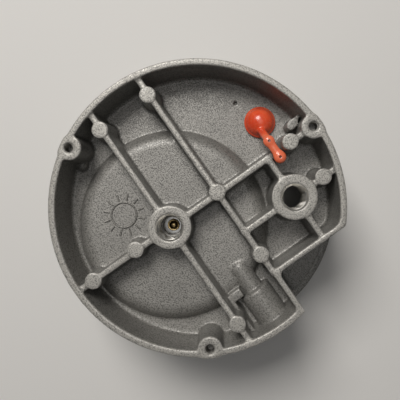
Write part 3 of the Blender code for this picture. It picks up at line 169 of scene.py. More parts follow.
# Mould clock on the dome
CLOCK = (14.3, 25.9)
CLOCK_RING_RADIUS = 4.9
CLOCK_RAY_RADII = (5.8, 7.0, 8.2)
CLOCK_RAYS = 12
CLOCK_HALF_WIDTH = 0.42
CLOCK_HEIGHT = 0.55
PADS = (
    (44.9, -8.8),
    (44.4, 13.1),
    (0.5, -9.2),
    (-27.7, -9.2),
    (-43.8, 12.7),
    (0.5, 27.9),
    (0.0, 47.2),
    (0.3, -42.2),
    (-17.4, -44.7),
)

GRID = 0.5  # spacing of the points at which the casting's distance field is worked out
PLUG_GRID = 0.2
MOST_CASE_TRIANGLES = 178000
MOST_PLUG_TRIANGLES = 60000
CURVATURE_REACH = 0.45
CASE_REACH = 59.0
MARGIN = 1.5


# ---------------------------------------------------------------- distance fields


def smooth_min(a, b, radius):
    """The union of two solids with a fillet of about this radius between them."""
    return np.minimum(a, b) - np.maximum(radius - np.abs(a - b), 0.0) ** 2 / (4 * radius)


def smooth_max(a, b, radius):
    """The overlap of two solids with its edge rounded by about this radius."""
    return np.maximum(a, b) + np.maximum(radius - np.abs(a - b), 0.0) ** 2 / (4 * radius)


def circle(x, y, place, radius):
    return np.hypot(x - place[0], y - place[1]) - radius


def bar(x, y, start, end, half):
    """Distance in plan to a bar with round ends."""
    run = np.array(end) - np.array(start)
    along = ((x - start[0]) * run[0] + (y - start[1]) * run[1]) / (run @ run)
    along = np.clip(along, 0.0, 1.0)
    return np.hypot(x - start[0] - along * run[0], y - start[1] - along * run[1]) - half


def lug_places():
    turns = [math.radians(angle) for angle in LUG_ANGLES]
    return [(LUG_CIRCLE * math.cos(turn), LUG_CIRCLE * math.sin(turn)) for turn in turns]


def outer_body(x, y, z, radius):
    """The tapered body with its front neck, less the corner notch."""
    taper = (z - SHOULDER_Z) / (RIM_Z - SHOULDER_Z)
    cone = radius - (BODY_RADIUS + (RIM_RADIUS - BODY_RADIUS) * taper)
    neck = radius - NECK_RADIUS
    side = np.where(z < SHOULDER_Z, neck, cone)
    corner = smooth_max(x - NOTCH[0], y - NOTCH[1], 3.0)
    notch = smooth_max(corner, NOTCH_FLOOR - z, 2.0)
    return smooth_max(side, -notch, 0.4)


def pocket(x, y, z, radius):
    """The hollow behind the case, with rounded lower corners."""
    corner = smooth_max(x - NOTCH[0] - NOTCH_WALL, y - NOTCH[1] - NOTCH_WALL, 2.0)
    wall = POCKET_RADIUS - POCKET_DRAFT * (RIM_Z - z) / (RIM_Z - FLOOR_Z)
    plan = smooth_max(radius - wall, -corner, 2.0)
    return smooth_max(plan, FLOOR_Z - z, 1.5)


def plan_of_ribs(x, y):
    reach = POCKET_RADIUS + 1.0
    y1, y2, y3 = RIB_Y
    notch_x = NOTCH[0] + NOTCH_WALL / 2
    lines = (
        ((-math.sqrt(reach**2 - y1**2), y1), (math.sqrt(reach**2 - y1**2), y1)),
        ((notch_x, y2), (math.sqrt(reach**2 - y2**2), y2)),
        ((notch_x, y3), (0.0, y3)),
        ((0.0, y3), (0.0, reach)),
        ((0.0, -reach), (0.0, TAIL_GAP_END_Y - RIB_WIDTH / 2)),
        ((OFFSET_X, -math.sqrt(reach**2 - OFFSET_X**2)), (OFFSET_X, y2)),
    )
    plan = None
    for start, end in lines:
        line = bar(x, y, start, end, RIB_WIDTH / 2)
        plan = line if plan is None else smooth_min(plan, line, 1.0)
    return plan


def plan_of_pads(x, y):
    plan = circle(x, y, PADS[0], PAD_RADIUS)
    for place in PADS[1:]:
        plan = np.minimum(plan, circle(x, y, place, PAD_RADIUS))
    return plan


def plan_of_port_bosses(x, y):
    centre = circle(x, y, (0.0, DOME_Y), CENTRE_BOSS_RADIUS)
    offset = circle(x, y, (OFFSET_X, RIB_Y[2]), OFFSET_BOSS_RADIUS)
    return np.minimum(centre, offset)


def raised_work(x, y, z, radius):
    """Ribs, pads and port bosses, standing on the pocket floor."""
    depth = (RIM_Z - z) / (RIM_Z - FLOOR_Z)
    draft = RIB_DRAFT * depth
    ribs, pads, bosses = plan_of_ribs(x, y), plan_of_pads(x, y), plan_of_port_bosses(x, y)
    low = smooth_min(smooth_min(ribs, pads, 0.7), bosses, 1.2) - draft
    high = np.minimum(pads, bosses) - draft
    work = np.minimum(smooth_max(low, z - RIB_Z, 0.35), smooth_max(high, z - PAD_Z, 0.35))
    low_wall = bar(x, y, *TAIL_GAP_WALL, RIB_WIDTH / 2) - draft
    low_wall = smooth_max(low_wall, z - (RIM_Z - TAIL_GAP_DEPTH), 0.5)
    work = np.minimum(work, low_wall)
    return np.maximum(work, radius - POCKET_RADIUS - 1.0)


def diaphragm_dome(x, y, z):
    """The raised roof of the diaphragm chamber, with a broad rounded shoulder."""
    side = circle(x, y, (0.0, DOME_Y), DOME_RADIUS) + DOME_DRAFT * np.maximum(z - FLOOR_Z, 0.0)
    return smooth_max(side, z - DOME_Z, 4.5)


def side_port_boss(x, y, z):
    """The side port's stepped cylinder, which runs from the wall to the dome."""
    axis_y, axis_z, boss_radius = SIDE_BOSS
    from_axis = np.hypot(y - axis_y, z - axis_z)
    boss = smooth_max(from_axis - boss_radius, x - SIDE_SHOULDER_X, 0.8)
    passage = smooth_max(from_axis - SIDE_PASSAGE_RADIUS, x - SIDE_PASSAGE_END_X, 3.0)
    shape = smooth_min(boss, passage, 0.8)
    return np.maximum(shape, -x - RIM_RADIUS + 2.0)


def small_cast_details(x, y, z):
    """A low leaf pad by one lug, a domed boss by another and a stepped ledge beside the side port."""
    leaf = bar(x, y, LEAF_ROOT, LEAF_MIDDLE, 1.6)
    leaf = smooth_min(leaf, bar(x, y, LEAF_MIDDLE, LEAF_TIP, 0.6), 2.4)
    leaf = smooth_max(leaf, z - LEAF_Z, 0.4)
    dome = np.sqrt((x - DOME_BOSS[0]) ** 2 + (y - DOME_BOSS[1]) ** 2 + (z - FLOOR_Z - 1.0) ** 2)
    dome = dome - DOME_BOSS_RADIUS
    ledge = np.maximum(np.abs(x - LEDGE[0]) - LEDGE_HALF[0], np.abs(y - LEDGE[1]) - LEDGE_HALF[1])
    ledge = smooth_max(ledge, z - LEDGE_Z, 0.4)
    block = np.maximum(np.abs(x - BLOCK[0]) - BLOCK_HALF[0], np.abs(y - BLOCK[1]) - BLOCK_HALF[1])
    block = smooth_max(block, z - BLOCK_Z, 0.5)
    return np.minimum(np.minimum(leaf, dome), np.minimum(ledge, block))


def lug_columns(x, y, z):
    """The three lugs, a little wider towards the floor, which fade into the wall below it."""
    lugs = None
    for place in lug_places():
        lug = circle(x, y, place, LUG_RADIUS) - 0.02 * (RIM_Z - z)
        lugs = lug if lugs is None else np.minimum(lugs, lug)
    bulge = np.hypot(x, y) - RIM_RADIUS - 0.7
    return smooth_max(smooth_max(lugs, bulge, 1.0), FLOOR_Z - 12.0 - z, 6.0)


def front_bowl(x, y, z, radius):
    """The hollow in front, with the diaphragm's seat and chamber in its ceiling."""
    wall = BOWL_RADIUS - BOWL_DRAFT * (z - FRONT_Z) / (CEILING_Z - FRONT_Z)
    corner = np.maximum(x - NOTCH[0] - NOTCH_WALL, y - NOTCH[1] - NOTCH_WALL)
    step = np.maximum(corner, NOTCH_FLOOR - NOTCH_FLOOR_THICKNESS - z)
    bowl = np.maximum(np.maximum(radius - wall, z - CEILING_Z), -step)
    from_dome = np.hypot(x, y - DOME_Y)
    seat = np.maximum(from_dome - SEAT_RADIUS, z - SEAT_Z)
    chamber = np.maximum(from_dome - CHAMBER_RADIUS, z - CHAMBER_Z)
    return np.minimum(bowl, np.minimum(seat, chamber))


def inner_posts(x, y, z):
    """The dial posts, and the boss of the side port that opens into the notch."""
    posts = circle(x, y, DIAL_POST, DIAL_POST_RADIUS)
    posts = np.minimum(posts, circle(x, y, (-DIAL_POST[0], DIAL_POST[1]), DIAL_POST_RADIUS))
    posts = np.maximum(posts, DIAL_POST_FRONT_Z - z)
    from_axis = np.hypot(y - SIDE_PORT_2[0], z - SIDE_PORT_2[1])
    middle, half = SIDE_PORT_2_BOSS
    boss = np.maximum(from_axis - SIDE_BOSS[2], np.abs(x - middle) - half)
    return np.minimum(posts, boss)


def drilled_holes(x, y, z):
    """Every bore and hole, widened where a lining goes in."""
    bore = PORT_RADIUS + LINING
    centre = circle(x, y, (0.0, DOME_Y), CENTRE_BORE_RADIUS)
    centre = np.minimum(centre, np.maximum(circle(x, y, (0.0, DOME_Y), bore), PAD_Z - CENTRE_THREAD_DEPTH - z))
    offset = circle(x, y, (OFFSET_X, RIB_Y[2]), bore)
    holes = np.maximum(np.minimum(centre, offset), CEILING_Z - 1.0 - z)
    from_axis = np.hypot(y - SIDE_BOSS[0], z - SIDE_BOSS[1])
    passage = np.maximum(from_axis - SIDE_PASSAGE_BORE, x - SIDE_BORE_END_X)
    side_1 = np.minimum(np.maximum(from_axis - bore, x - SIDE_THREAD_END_X), passage)
    from_axis = np.hypot(y - SIDE_PORT_2[0], z - SIDE_PORT_2[1])
    middle, half = SIDE_PORT_2_BORE
    side_2 = np.maximum(from_axis - bore, np.abs(x - middle) - half)
    holes = np.minimum(holes, np.minimum(side_1, side_2))
    for place in lug_places():
        hole = np.maximum(circle(x, y, place, LUG_HOLE_RADIUS), RIM_Z - LUG_HOLE_DEPTH - z)
        countersink = circle(x, y, place, LUG_HOLE_RADIUS + COUNTERSINK) + (RIM_Z - z)
        holes = np.minimum(holes, np.minimum(hole, countersink))
    plug_hole = np.maximum(circle(x, y, PLUG, PLUG_HOLE_RADIUS), CEILING_Z - 1.0 - z)
    dimple = np.maximum(circle(x, y, DIMPLE, DIMPLE_RADIUS), FLOOR_Z - DIMPLE_DEPTH - z)
    return np.minimum(holes, np.minimum(plug_hole, dimple))


def casting_distance(x, y, z):
    """Signed distance to the whole casting: negative inside the metal."""
    radius = np.hypot(x, y)
    shell = smooth_max(outer_body(x, y, z, radius), -pocket(x, y, z, radius), 0.35)
    shell = smooth_min(shell, diaphragm_dome(x, y, z), 0.7)
    solid = smooth_min(shell, lug_columns(x, y, z), 1.0)
    solid = smooth_min(solid, raised_work(x, y, z, radius), 0.9)
    solid = smooth_min(solid, side_port_boss(x, y, z), 0.8)
    solid = smooth_min(solid, small_cast_details(x, y, z), 0.7)
    solid = smooth_max(solid, z - RIM_Z, 0.4)
    solid = np.maximum(solid, FRONT_Z - z)
    solid = np.maximum(solid, -front_bowl(x, y, z, radius))
    solid = np.minimum(solid, np.maximum(inner_posts(x, y, z), z - CEILING_Z - 1.0))
    return smooth_max(solid, -drilled_holes(x, y, z), 0.3)


def surface_net(values, low, step):
    """Points and quads of the zero surface of a grid of distances."""
    inside = values < 0
    corners = [(i, j, k) for i in (0, 1) for j in (0, 1) for k in (0, 1)]
    shape = [n - 1 for n in values.shape]

    def shifted(grid, corner):
        i, j, k = corner
        return grid[i : i + shape[0], j : j + shape[1], k : k + shape[2]]

    full = sum(shifted(inside, corner).astype(np.int8) for corner in corners)
    active = (full > 0) & (full < 8)
    cells = np.argwhere(active)
    total = np.zeros((len(cells), 3))
    count = np.zeros(len(cells))
    at = {corner: values[tuple((cells + corner).T)] for corner in corners}
    for corner in corners:
        for axis in range(3):
            if corner[axis]:
                continue
            other = list(corner)
            other[axis] = 1
            a, b = at[corner], at[tuple(other)]
            crossed = (a < 0) != (b < 0)
            share = np.where(crossed, a / np.where(crossed, a - b, 1.0), 0.0)
            point = np.tile(np.array(corner, float), (len(cells), 1))
            point[:, axis] += share
            total += point * crossed[:, None]
            count += crossed
    points = low + step * (cells + total / count[:, None])
    index = np.full(active.shape, -1, np.int32)
    index[active] = np.arange(len(cells))
    quads = []
    for axis in range(3):
        u, v = (axis + 1) % 3, (axis + 2) % 3
        first = [slice(None)] * 3
        second = [slice(None)] * 3
        first[axis], second[axis] = slice(None, -1), slice(1, None)
        edge_from, edge_to = inside[tuple(first)], inside[tuple(second)]
        edges = np.argwhere(edge_from != edge_to)
        keep = (edges[:, u] > 0) & (edges[:, v] > 0)
        keep &= (edges[:, u] < active.shape[u]) & (edges[:, v] < active.shape[v])
        edges = edges[keep]
        leaving = edge_from[tuple(edges.T)]
        ring = []
        for du, dv in ((-1, -1), (0, -1), (0, 0), (-1, 0)):
            cell = edges.copy()
            cell[:, u] += du
            cell[:, v] += dv
            ring.append(index[tuple(cell.T)])
        quad = np.stack(ring, 1)
        quad[~leaving] = quad[~leaving][:, ::-1]
        quads.append(quad)
    return points, np.concatenate(quads)


def mesh_from_arrays(name, points, quads):
    mesh = bpy.data.meshes.new(name)
    mesh.vertices.add(len(points))
    mesh.vertices.foreach_set("co", points.astype(np.float32).ravel())
    mesh.loops.add(4 * len(quads))
    mesh.loops.foreach_set("vertex_index", quads.astype(np.int32).ravel())
    mesh.polygons.add(len(quads))
    mesh.polygons.foreach_set("loop_start", np.arange(0, 4 * len(quads), 4, dtype=np.int32))
    mesh.update(calc_edges=True)
    mesh.validate()
    mesh.shade_smooth()
    return mesh


def linked(name, mesh):
    made = bpy.data.objects.new(name, mesh)
    bpy.context.scene.collection.objects.link(made)
    return made


def curvature_of(points):
    """How sharply the casting turns at each point, per millimetre: positive on an edge, negative in a corner."""
    reach = CURVATURE_REACH
    x, y, z = points.T
    total = -6.0 * casting_distance(x, y, z)
    for dx, dy, dz in ((reach, 0, 0), (0, reach, 0), (0, 0, reach)):
        total += casting_distance(x + dx, y + dy, z + dz) + casting_distance(x - dx, y - dy, z - dz)
    return total / reach**2


def keep_triangles(obj, most):
    """Thins a mesh to about this many triangles."""
    triangles = sum(len(face.vertices) - 2 for face in obj.data.polygons)
    if triangles > most:
        thin = obj.modifiers.new("thin", "DECIMATE")
        thin.ratio = most / triangles
        apply_modifiers(obj)


def apply_modifiers(obj):
    graph = bpy.context.evaluated_depsgraph_get()
    mesh = bpy.data.meshes.new_from_object(obj.evaluated_get(graph))
    obj.modifiers.clear()
    obj.data = mesh
    mesh.shade_smooth()


def sampled(low, high, step, distance):
    """The surface of a distance field in a box, as points in millimetres and quads."""
    low = np.array(low, float)
    counts = np.ceil((np.array(high) - low) / step).astype(int) + 1
    x, y, z = ((low[axis] + step * np.arange(counts[axis])).astype(np.float32) for axis in range(3))
    values = distance(x[:, None, None], y[None, :, None], z[None, None, :])
    return surface_net(values, low, step)


def cast_case():
    """The casting, with its curvature kept as an attribute for the paint's wear and for its painted shade in corners.
    """
    low = (-CASE_REACH, -CASE_REACH, FRONT_Z - MARGIN)
    high = (CASE_REACH, CASE_REACH, RIM_Z + MARGIN)
    points, quads = sampled(low, high, GRID, casting_distance)
    mesh = mesh_from_arrays("case_casting", points * MM, quads)
    edge = mesh.attributes.new("edge", "FLOAT", "POINT")
    edge.data.foreach_set("value", curvature_of(points).astype(np.float32))
    case = linked("case_casting", mesh)
    keep_triangles(case, MOST_CASE_TRIANGLES)
    return case


# ---------------------------------------------------------------- turned and helical pieces


def turned(name, profile, place=(0.0, 0.0), steps=192):
    """A closed solid turned about Z from (radius, z) points in millimetres, which close on themselves."""
    bm = bmesh.new()
    rings = []
    for index in range(steps):
        turn = math.tau * index / steps
        cos, sin = math.cos(turn), math.sin(turn)
        ring = []
        for r, z in profile:
            ring.append(bm.verts.new((place[0] * MM + r * cos * MM, place[1] * MM + r * sin * MM, z * MM)))
        rings.append(ring)
    for index, ring in enumerate(rings):
        following = rings[(index + 1) % steps]
        for k in range(len(profile)):
            j = (k + 1) % len(profile)
            bm.faces.new((ring[k], following[k], following[j], ring[j]))
    return finished(name, bm)


def finished(name, bm, smooth=True):
    bmesh.ops.remove_doubles(bm, verts=bm.verts, dist=1e-7)
    bmesh.ops.recalc_face_normals(bm, faces=bm.faces)
    mesh = bpy.data.meshes.new(name)
    bm.to_mesh(mesh)
    bm.free()
    if smooth:
        mesh.shade_smooth()
        mesh.set_sharp_from_angle(angle=math.radians(38.0))
    return linked(name, mesh)


def rounded(corners, radius, steps=5):
    """A closed (radius, z) outline with each corner replaced by a short arc."""
    outline = []
    count = len(corners)
    for index, corner in enumerate(corners):
        here = np.array(corner, float)
        before, after = np.array(corners[index - 1], float), np.array(corners[(index + 1) % count], float)
        to_before, to_after = before - here, after - here
        reach = min(radius, 0.45 * np.linalg.norm(to_before), 0.45 * np.linalg.norm(to_after))
        start = here + to_before / np.linalg.norm(to_before) * reach
        end = here + to_after / np.linalg.norm(to_after) * reach
        for step in range(steps + 1):
            t = step / steps
            outline.append(tuple((1 - t) ** 2 * start + 2 * t * (1 - t) * here + t**2 * end))
    return outline


def threaded_sleeve(name, bore, outer, low, high, pitch, depth, countersink=0.0, place=(0.0, 0.0)):
    """A sleeve with a helical thread cut inside it."""
    around, per_turn = 96, 8
    levels = max(4, int(round((high - low) / pitch * per_turn)))
    bm = bmesh.new()
    inner, outside = [], []

    def point(radius, turn, z):
        x, y = place[0] + radius * math.cos(turn), place[1] + radius * math.sin(turn)
        return bm.verts.new((x * MM, y * MM, z * MM))

    for level in range(levels + 1):
        z = low + (high - low) * level / levels
        inner.append([])
        for index in range(around):
            share = index / around
            phase = (z / pitch + share) % 1.0
            tooth = abs(2 * phase - 1)
            radius = bore + depth * min(1.0, max(0.0, 1.25 * tooth - 0.125))
            radius = min(outer - 0.03, max(radius, bore + countersink - 0.8 * (high - z)))
            inner[-1].append(point(radius, math.tau * share, z))
    for z in (low, high):
        outside.append([])
        for index in range(around):
            outside[-1].append(point(outer, math.tau * index / around, z))
    loops = inner + outside[::-1]
    for index, loop in enumerate(loops):
        following = loops[(index + 1) % len(loops)]
        for k in range(around):
            j = (k + 1) % around
            bm.faces.new((loop[k], loop[j], following[j], following[k]))
    return finished(name, bm)


def swing(obj, turn, place):
    """Turns and moves a finished piece in its mesh, so that its object stays at the origin."""
    obj.data.transform(Matrix.Translation(Vector(place) * MM) @ turn.to_4x4())
    return obj


# ---------------------------------------------------------------- materials


class Finish:
    """One procedural material, built node by node."""

    def __init__(self, name, colour, roughness, metallic=0.0, **sockets):
        self.material = bpy.data.materials.new(name)
        self.material.use_nodes = True
        self.tree = self.material.node_tree
        self.shader = self.tree.nodes["Principled BSDF"]
        self.shader.inputs["Base Color"].default_value = (*colour, 1.0)
        self.shader.inputs["Roughness"].default_value = roughness
        self.shader.inputs["Metallic"].default_value = metallic
        for socket, value in sockets.items():
            self.shader.inputs[socket.replace("_", " ")].default_value = value
        self.place = self.tree.nodes.new("ShaderNodeTexCoord").outputs["Object"]

    def node(self, kind, inputs=(), **settings):
        made = self.tree.nodes.new("ShaderNode" + kind)
        for setting, value in settings.items():
            setattr(made, setting, value)
        for socket, value in dict(inputs).items():
            if isinstance(value, bpy.types.NodeSocket):
                self.tree.links.new(value, made.inputs[socket])
            else:
                made.inputs[socket].default_value = value
        return made

    def noise(self, scale, detail=2.0, place=None, distortion=0.0):
        inputs = {"Vector": place or self.place, "Scale": scale, "Detail": detail, "Distortion": distortion}
        return self.node("TexNoise", inputs).outputs["Fac"]

    def stretched(self, x, y, z):
        scaled = self.node("VectorMath", {0: self.place, 1: (x, y, z)}, operation="MULTIPLY")
        return scaled.outputs["Vector"]

    def ramp(self, value, low, high, to_low=0.0, to_high=1.0):
        inputs = {"Value": value, "From Min": low, "From Max": high, "To Min": to_low, "To Max": to_high}
        return self.node("MapRange", inputs, interpolation_type="SMOOTHSTEP").outputs["Result"]

    def maths(self, operation, a, b):
        return self.node("Math", {0: a, 1: b}, operation=operation).outputs["Value"]

    def mix(self, share, a, b):
        """A colour between a and b."""
        inputs = {"Factor": share, "A": a if isinstance(a, bpy.types.NodeSocket) else (*a, 1.0)}
        inputs["B"] = b if isinstance(b, bpy.types.NodeSocket) else (*b, 1.0)
        made = self.tree.nodes.new("ShaderNodeMix")
        made.data_type = "RGBA"
        for socket, index in (("Factor", 0), ("A", 6), ("B", 7)):
            if isinstance(inputs[socket], bpy.types.NodeSocket):
                self.tree.links.new(inputs[socket], made.inputs[index])
            else:
                made.inputs[index].default_value = inputs[socket]
        return made.outputs[2]

    def attribute(self, name):
        return self.node("Attribute", attribute_name=name).outputs["Fac"]

    def colour(self, value):
        self.tree.links.new(value, self.shader.inputs["Base Color"])

    def rough(self, value):
        self.tree.links.new(value, self.shader.inputs["Roughness"])

    def bump(self, height, distance, strength=1.0):
        inputs = {"Height": height, "Distance": distance, "Strength": strength}
        made = self.node("Bump", inputs)
        self.tree.links.new(made.outputs["Normal"], self.shader.inputs["Normal"])

    def give(self, *objects):
        for obj in objects:
            obj.data.materials.clear()
            obj.data.materials.append(self.material)


def hammertone(name, wear_and_corner_shade=True):
    """Warm grey enamel that has dried over fine dark grain, rubbed on edges, with painted shade darkening it in
    corners and a painted lighter tone on the top level, where light falls.
    """
    paint = Finish(name, (0.40, 0.385, 0.355), 0.42, 0.3, Coat_Weight=0.2, Coat_Roughness=0.25)
    grain = paint.ramp(paint.noise(2000.0, 2.0, distortion=0.6), 0.36, 0.56)
    broad = paint.ramp(paint.noise(38.0, 3.0), 0.3, 0.7)
    light = paint.mix(broad, (0.27, 0.262, 0.244), (0.33, 0.321, 0.299))
    # Painted light: the top level of the rim, ribs and pads is painted lighter, with its dark grain less dark, for
    # the light that falls on the open tops more than on the pocket floors.
    height = paint.node("SeparateXYZ", {"Vector": paint.place}).outputs["Z"]
    lit_top_mask = paint.ramp(height, (RIB_Z - 0.35) * MM, (RIB_Z - 0.05) * MM)
    light = paint.mix(lit_top_mask, light, (0.45, 0.435, 0.40))
    tone = paint.mix(grain, paint.mix(lit_top_mask, (0.125, 0.122, 0.114), (0.20, 0.195, 0.183)), light)
    if wear_and_corner_shade:
        edge = paint.attribute("edge")
        rubbed = paint.ramp(paint.noise(300.0, 4.0), 0.35, 0.65)
        wear = paint.maths("MULTIPLY", paint.ramp(edge, 0.7, 2.2), rubbed)
        # Painted shade: the colour is darkened towards near black in concave corners, where shade falls.
        painted_corner_shade = paint.ramp(edge, -0.4, -1.6, 0.0, 0.35)
        tone = paint.mix(painted_corner_shade, tone, (0.08, 0.08, 0.075))
        tone = paint.mix(paint.maths("MULTIPLY", wear, 0.5), tone, (0.58, 0.57, 0.54))
    paint.colour(tone)
    paint.rough(paint.ramp(paint.noise(700.0, 2.0), 0.2, 0.8, 0.34, 0.52))
    paint.bump(grain, 0.00006, 0.7)
    return paint


def machined(name, colour, roughness=0.24):
    """Bright cut metal with fine turning lines."""
    metal = Finish(name, colour, roughness, 1.0)
    lines = metal.noise(900.0, 3.0, metal.stretched(0.25, 0.25, 6.0))
    metal.colour(metal.mix(metal.ramp(lines, 0.3, 0.7), tuple(0.72 * c for c in colour), colour))
    metal.rough(metal.ramp(lines, 0.25, 0.75, roughness * 0.8, roughness * 1.5))
    metal.bump(lines, 0.00002, 0.5)
    return metal


def brushed(name, colour, roughness=0.32, stretch=(1.0, 8.0, 1.0)):
    """Rolled or plated metal with a grain in one direction and faint stains."""
    metal = Finish(name, colour, roughness, 1.0)
    grain = metal.noise(1400.0, 3.0, metal.stretched(*stretch))
    stains = metal.ramp(metal.noise(120.0, 4.0), 0.35, 0.75)
    toned = metal.mix(metal.ramp(grain, 0.3, 0.7), tuple(0.8 * c for c in colour), colour)
    metal.colour(metal.mix(metal.maths("MULTIPLY", stains, 0.3), toned, tuple(0.55 * c for c in colour)))
    metal.rough(metal.ramp(grain, 0.2, 0.8, roughness * 0.75, roughness * 1.4))
    metal.bump(grain, 0.00001, 0.4)
    return metal


def silicone():
    """Glossy orange-red moulded rubber, slightly translucent, with dust and a faint mould texture."""
    rubber = Finish(
        "relief_silicone", (0.80, 0.10, 0.035), 0.22, 0.0, Subsurface_Weight=0.18, Subsurface_Scale=0.0015,
        Subsurface_Radius=(1.0, 0.25, 0.1), Coat_Weight=0.35, Coat_Roughness=0.08,
    )
    dust = rubber.ramp(rubber.noise(1500.0, 5.0), 0.55, 0.75)
    broad = rubber.ramp(rubber.noise(160.0, 2.0), 0.3, 0.7)
    tone = rubber.mix(broad, (0.68, 0.065, 0.022), (0.84, 0.12, 0.045))
    # Painted light: the raised tail, above RIM_Z - 8.5, is painted a lighter orange for the light on its upward
    # faces; the same mask keeps the painted dimple shade below to the tail.
    height = rubber.node("SeparateXYZ", {"Vector": rubber.place}).outputs["Z"]
    tail = rubber.ramp(height, (RIM_Z - 8.5) * MM, (RIM_Z - 6.0) * MM)
    tone = rubber.mix(tail, tone, (0.86, 0.19, 0.09))
    tone = rubber.mix(rubber.maths("MULTIPLY", dust, 0.18), tone, (0.85, 0.45, 0.35))
    # Painted shade: the middle of each bulb's dimple is darkened to near black, where shade falls in the hollow.
    for bulb_x, _ in TAIL_BULBS:
        centre = (bulb_x * MM, TAIL_Y * MM, (RIM_Z - 3.6) * MM)
        offset = rubber.node("VectorMath", {0: rubber.place, 1: centre}, operation="DISTANCE")
        hole = rubber.ramp(offset.outputs["Value"], 0.75 * MM, 0.45 * MM)
        tone = rubber.mix(rubber.maths("MULTIPLY", hole, tail), tone, (0.14, 0.02, 0.01))
    rubber.colour(tone)
    rubber.rough(rubber.ramp(rubber.noise(400.0, 3.0), 0.3, 0.7, 0.16, 0.34))
    rubber.bump(rubber.noise(900.0, 3.0), 0.00004, 0.35)
    return rubber


def rubber_of(name, colour, roughness):
    made = Finish(name, colour, roughness)
    made.colour(made.mix(made.ramp(made.noise(500.0, 4.0), 0.35, 0.7), colour, tuple(1.5 * c + 0.01 for c in colour)))
    made.rough(made.ramp(made.noise(900.0, 3.0), 0.3, 0.7, roughness * 0.85, min(1.0, roughness * 1.15)))
    made.bump(made.noise(1800.0, 3.0), 0.00002, 0.4)
    return made


def enamel(name, colour, roughness=0.3):
    made = Finish(name, colour, roughness, 0.0, Coat_Weight=0.3, Coat_Roughness=0.2)
    made.colour(made.mix(made.ramp(made.noise(90.0, 3.0), 0.35, 0.7), colour, tuple(0.94 * c for c in colour)))
    made.rough(made.ramp(made.noise(1200.0, 2.0), 0.3, 0.7, roughness * 0.85, roughness * 1.2))
    made.bump(made.noise(1600.0, 2.0), 0.000008, 0.4)
    return made


def acrylic():
    made = Finish("clear_acrylic", (0.97, 0.985, 0.985), 0.05, 0.0, Transmission_Weight=1.0, IOR=1.49)
    made.rough(made.ramp(made.noise(260.0, 4.0), 0.5, 0.8, 0.03, 0.10))
    made.bump(made.noise(220.0, 2.0), 0.000004, 0.3)
    return made


def jewel():
    made = Finish("ruby", (0.5, 0.02, 0.07), 0.08, 0.0, Transmission_Weight=0.4, IOR=1.76)
    made.colour(made.mix(made.noise(700.0, 2.0), (0.42, 0.01, 0.05), (0.60, 0.03, 0.10)))
    return made


# ---------------------------------------------------------------- the case and what shows behind it

HAMMERTONE = hammertone("hammertone")
BARE_METAL = machined("cut_aluminium", (0.86, 0.84, 0.79), 0.34)
# Painted shade: the lug threads are cut metal coloured dark grey, for the shade down the narrow lug holes.
SHADE_DARKENED_THREAD_METAL = machined("lug_thread_painted_shade", (0.30, 0.29, 0.27), 0.4)

case = cast_case()
HAMMERTONE.give(case)
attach(case, "case")
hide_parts("case")


def date_clock():
    """A plain ring with twelve rays, raised on the dome."""
    bm = bmesh.new()
    around, section = 72, 8

    def tube(points, closed):
        loops = []
        for k, (px, py) in enumerate(points):
            ahead = points[(k + 1) % len(points)] if closed or k + 1 < len(points) else points[k]
            behind = points[k - 1] if closed or k else points[k]
            run = Vector((ahead[0] - behind[0], ahead[1] - behind[1], 0.0)).normalized()
            side = Vector((-run.y, run.x, 0.0))
            loop = []
            for step in range(section):
                turn = math.tau * step / section
                offset = side * (CLOCK_HALF_WIDTH * math.cos(turn))
                offset = offset + Vector((0.0, 0.0, CLOCK_HEIGHT * math.sin(turn)))
                loop.append(bm.verts.new((Vector((px, py, DOME_Z)) + offset) * MM))
            loops.append(loop)
        count = len(loops) if closed else len(loops) - 1
        for k in range(count):
            a, b = loops[k], loops[(k + 1) % len(loops)]
            for step in range(section):
                following = (step + 1) % section
                bm.faces.new((a[step], a[following], b[following], b[step]))
        if not closed:
            bm.faces.new(loops[0])
            bm.faces.new(loops[-1][::-1])

    def outwards(distance, turn):
        return CLOCK[0] + distance * math.cos(turn), CLOCK[1] + distance * math.sin(turn)

    tube([outwards(CLOCK_RING_RADIUS, math.tau * k / around) for k in range(around)], True)
    for ray in range(CLOCK_RAYS):
        tube([outwards(distance, math.tau * (ray + 0.5) / CLOCK_RAYS) for distance in CLOCK_RAY_RADII], False)
    clock = finished("mould_clock", bm)
    hammertone("hammertone_clock", wear_and_corner_shade=False).give(clock)
    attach(clock, "case")


date_clock()


def line_port(name, place, low, high, turn=None):
    """One port's machined thread, 27 turns to the inch."""
    outer, mouth = PORT_RADIUS + LINING, PORT_MOUTH_RADIUS - PORT_RADIUS
    sleeve = threaded_sleeve(name, PORT_RADIUS, outer, low, high, THREAD_PITCH, THREAD_DEPTH, mouth)
    swing(sleeve, turn or Matrix.Identity(3), place)
    BARE_METAL.give(sleeve)
    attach(sleeve, "case")


SLEEVE_TOP = PAD_Z - 0.05
line_port("centre_port_thread", (0.0, DOME_Y, 0.0), PAD_Z - CENTRE_THREAD_DEPTH, SLEEVE_TOP)
line_port("offset_port_thread", (OFFSET_X, RIB_Y[2], 0.0), PAD_Z - OFFSET_THREAD_DEPTH, SLEEVE_TOP)
towards_wall = Matrix.Rotation(math.radians(-90.0), 3, "Y")
line_port("side_port_thread", (0.0, SIDE_BOSS[0], SIDE_BOSS[1]), -SIDE_THREAD_END_X, 54.5, towards_wall)
line_port("notch_port_thread", (0.0, SIDE_PORT_2[0], SIDE_PORT_2[1]), 28.1, 36.9, towards_wall)

for index, place in enumerate(lug_places()):
    sleeve = threaded_sleeve(
        f"lug_thread_{index + 1}", LUG_HOLE_RADIUS - 0.30, LUG_HOLE_RADIUS + 0.05, RIM_Z - LUG_HOLE_DEPTH,
        RIM_Z - LUG_THREAD_TOP, LUG_THREAD_PITCH, LUG_THREAD_DEPTH, 0.0, place,
    )
    # Painted shade: dark grey thread metal in each lug hole.
    SHADE_DARKENED_THREAD_METAL.give(sleeve)
    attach(sleeve, "case")


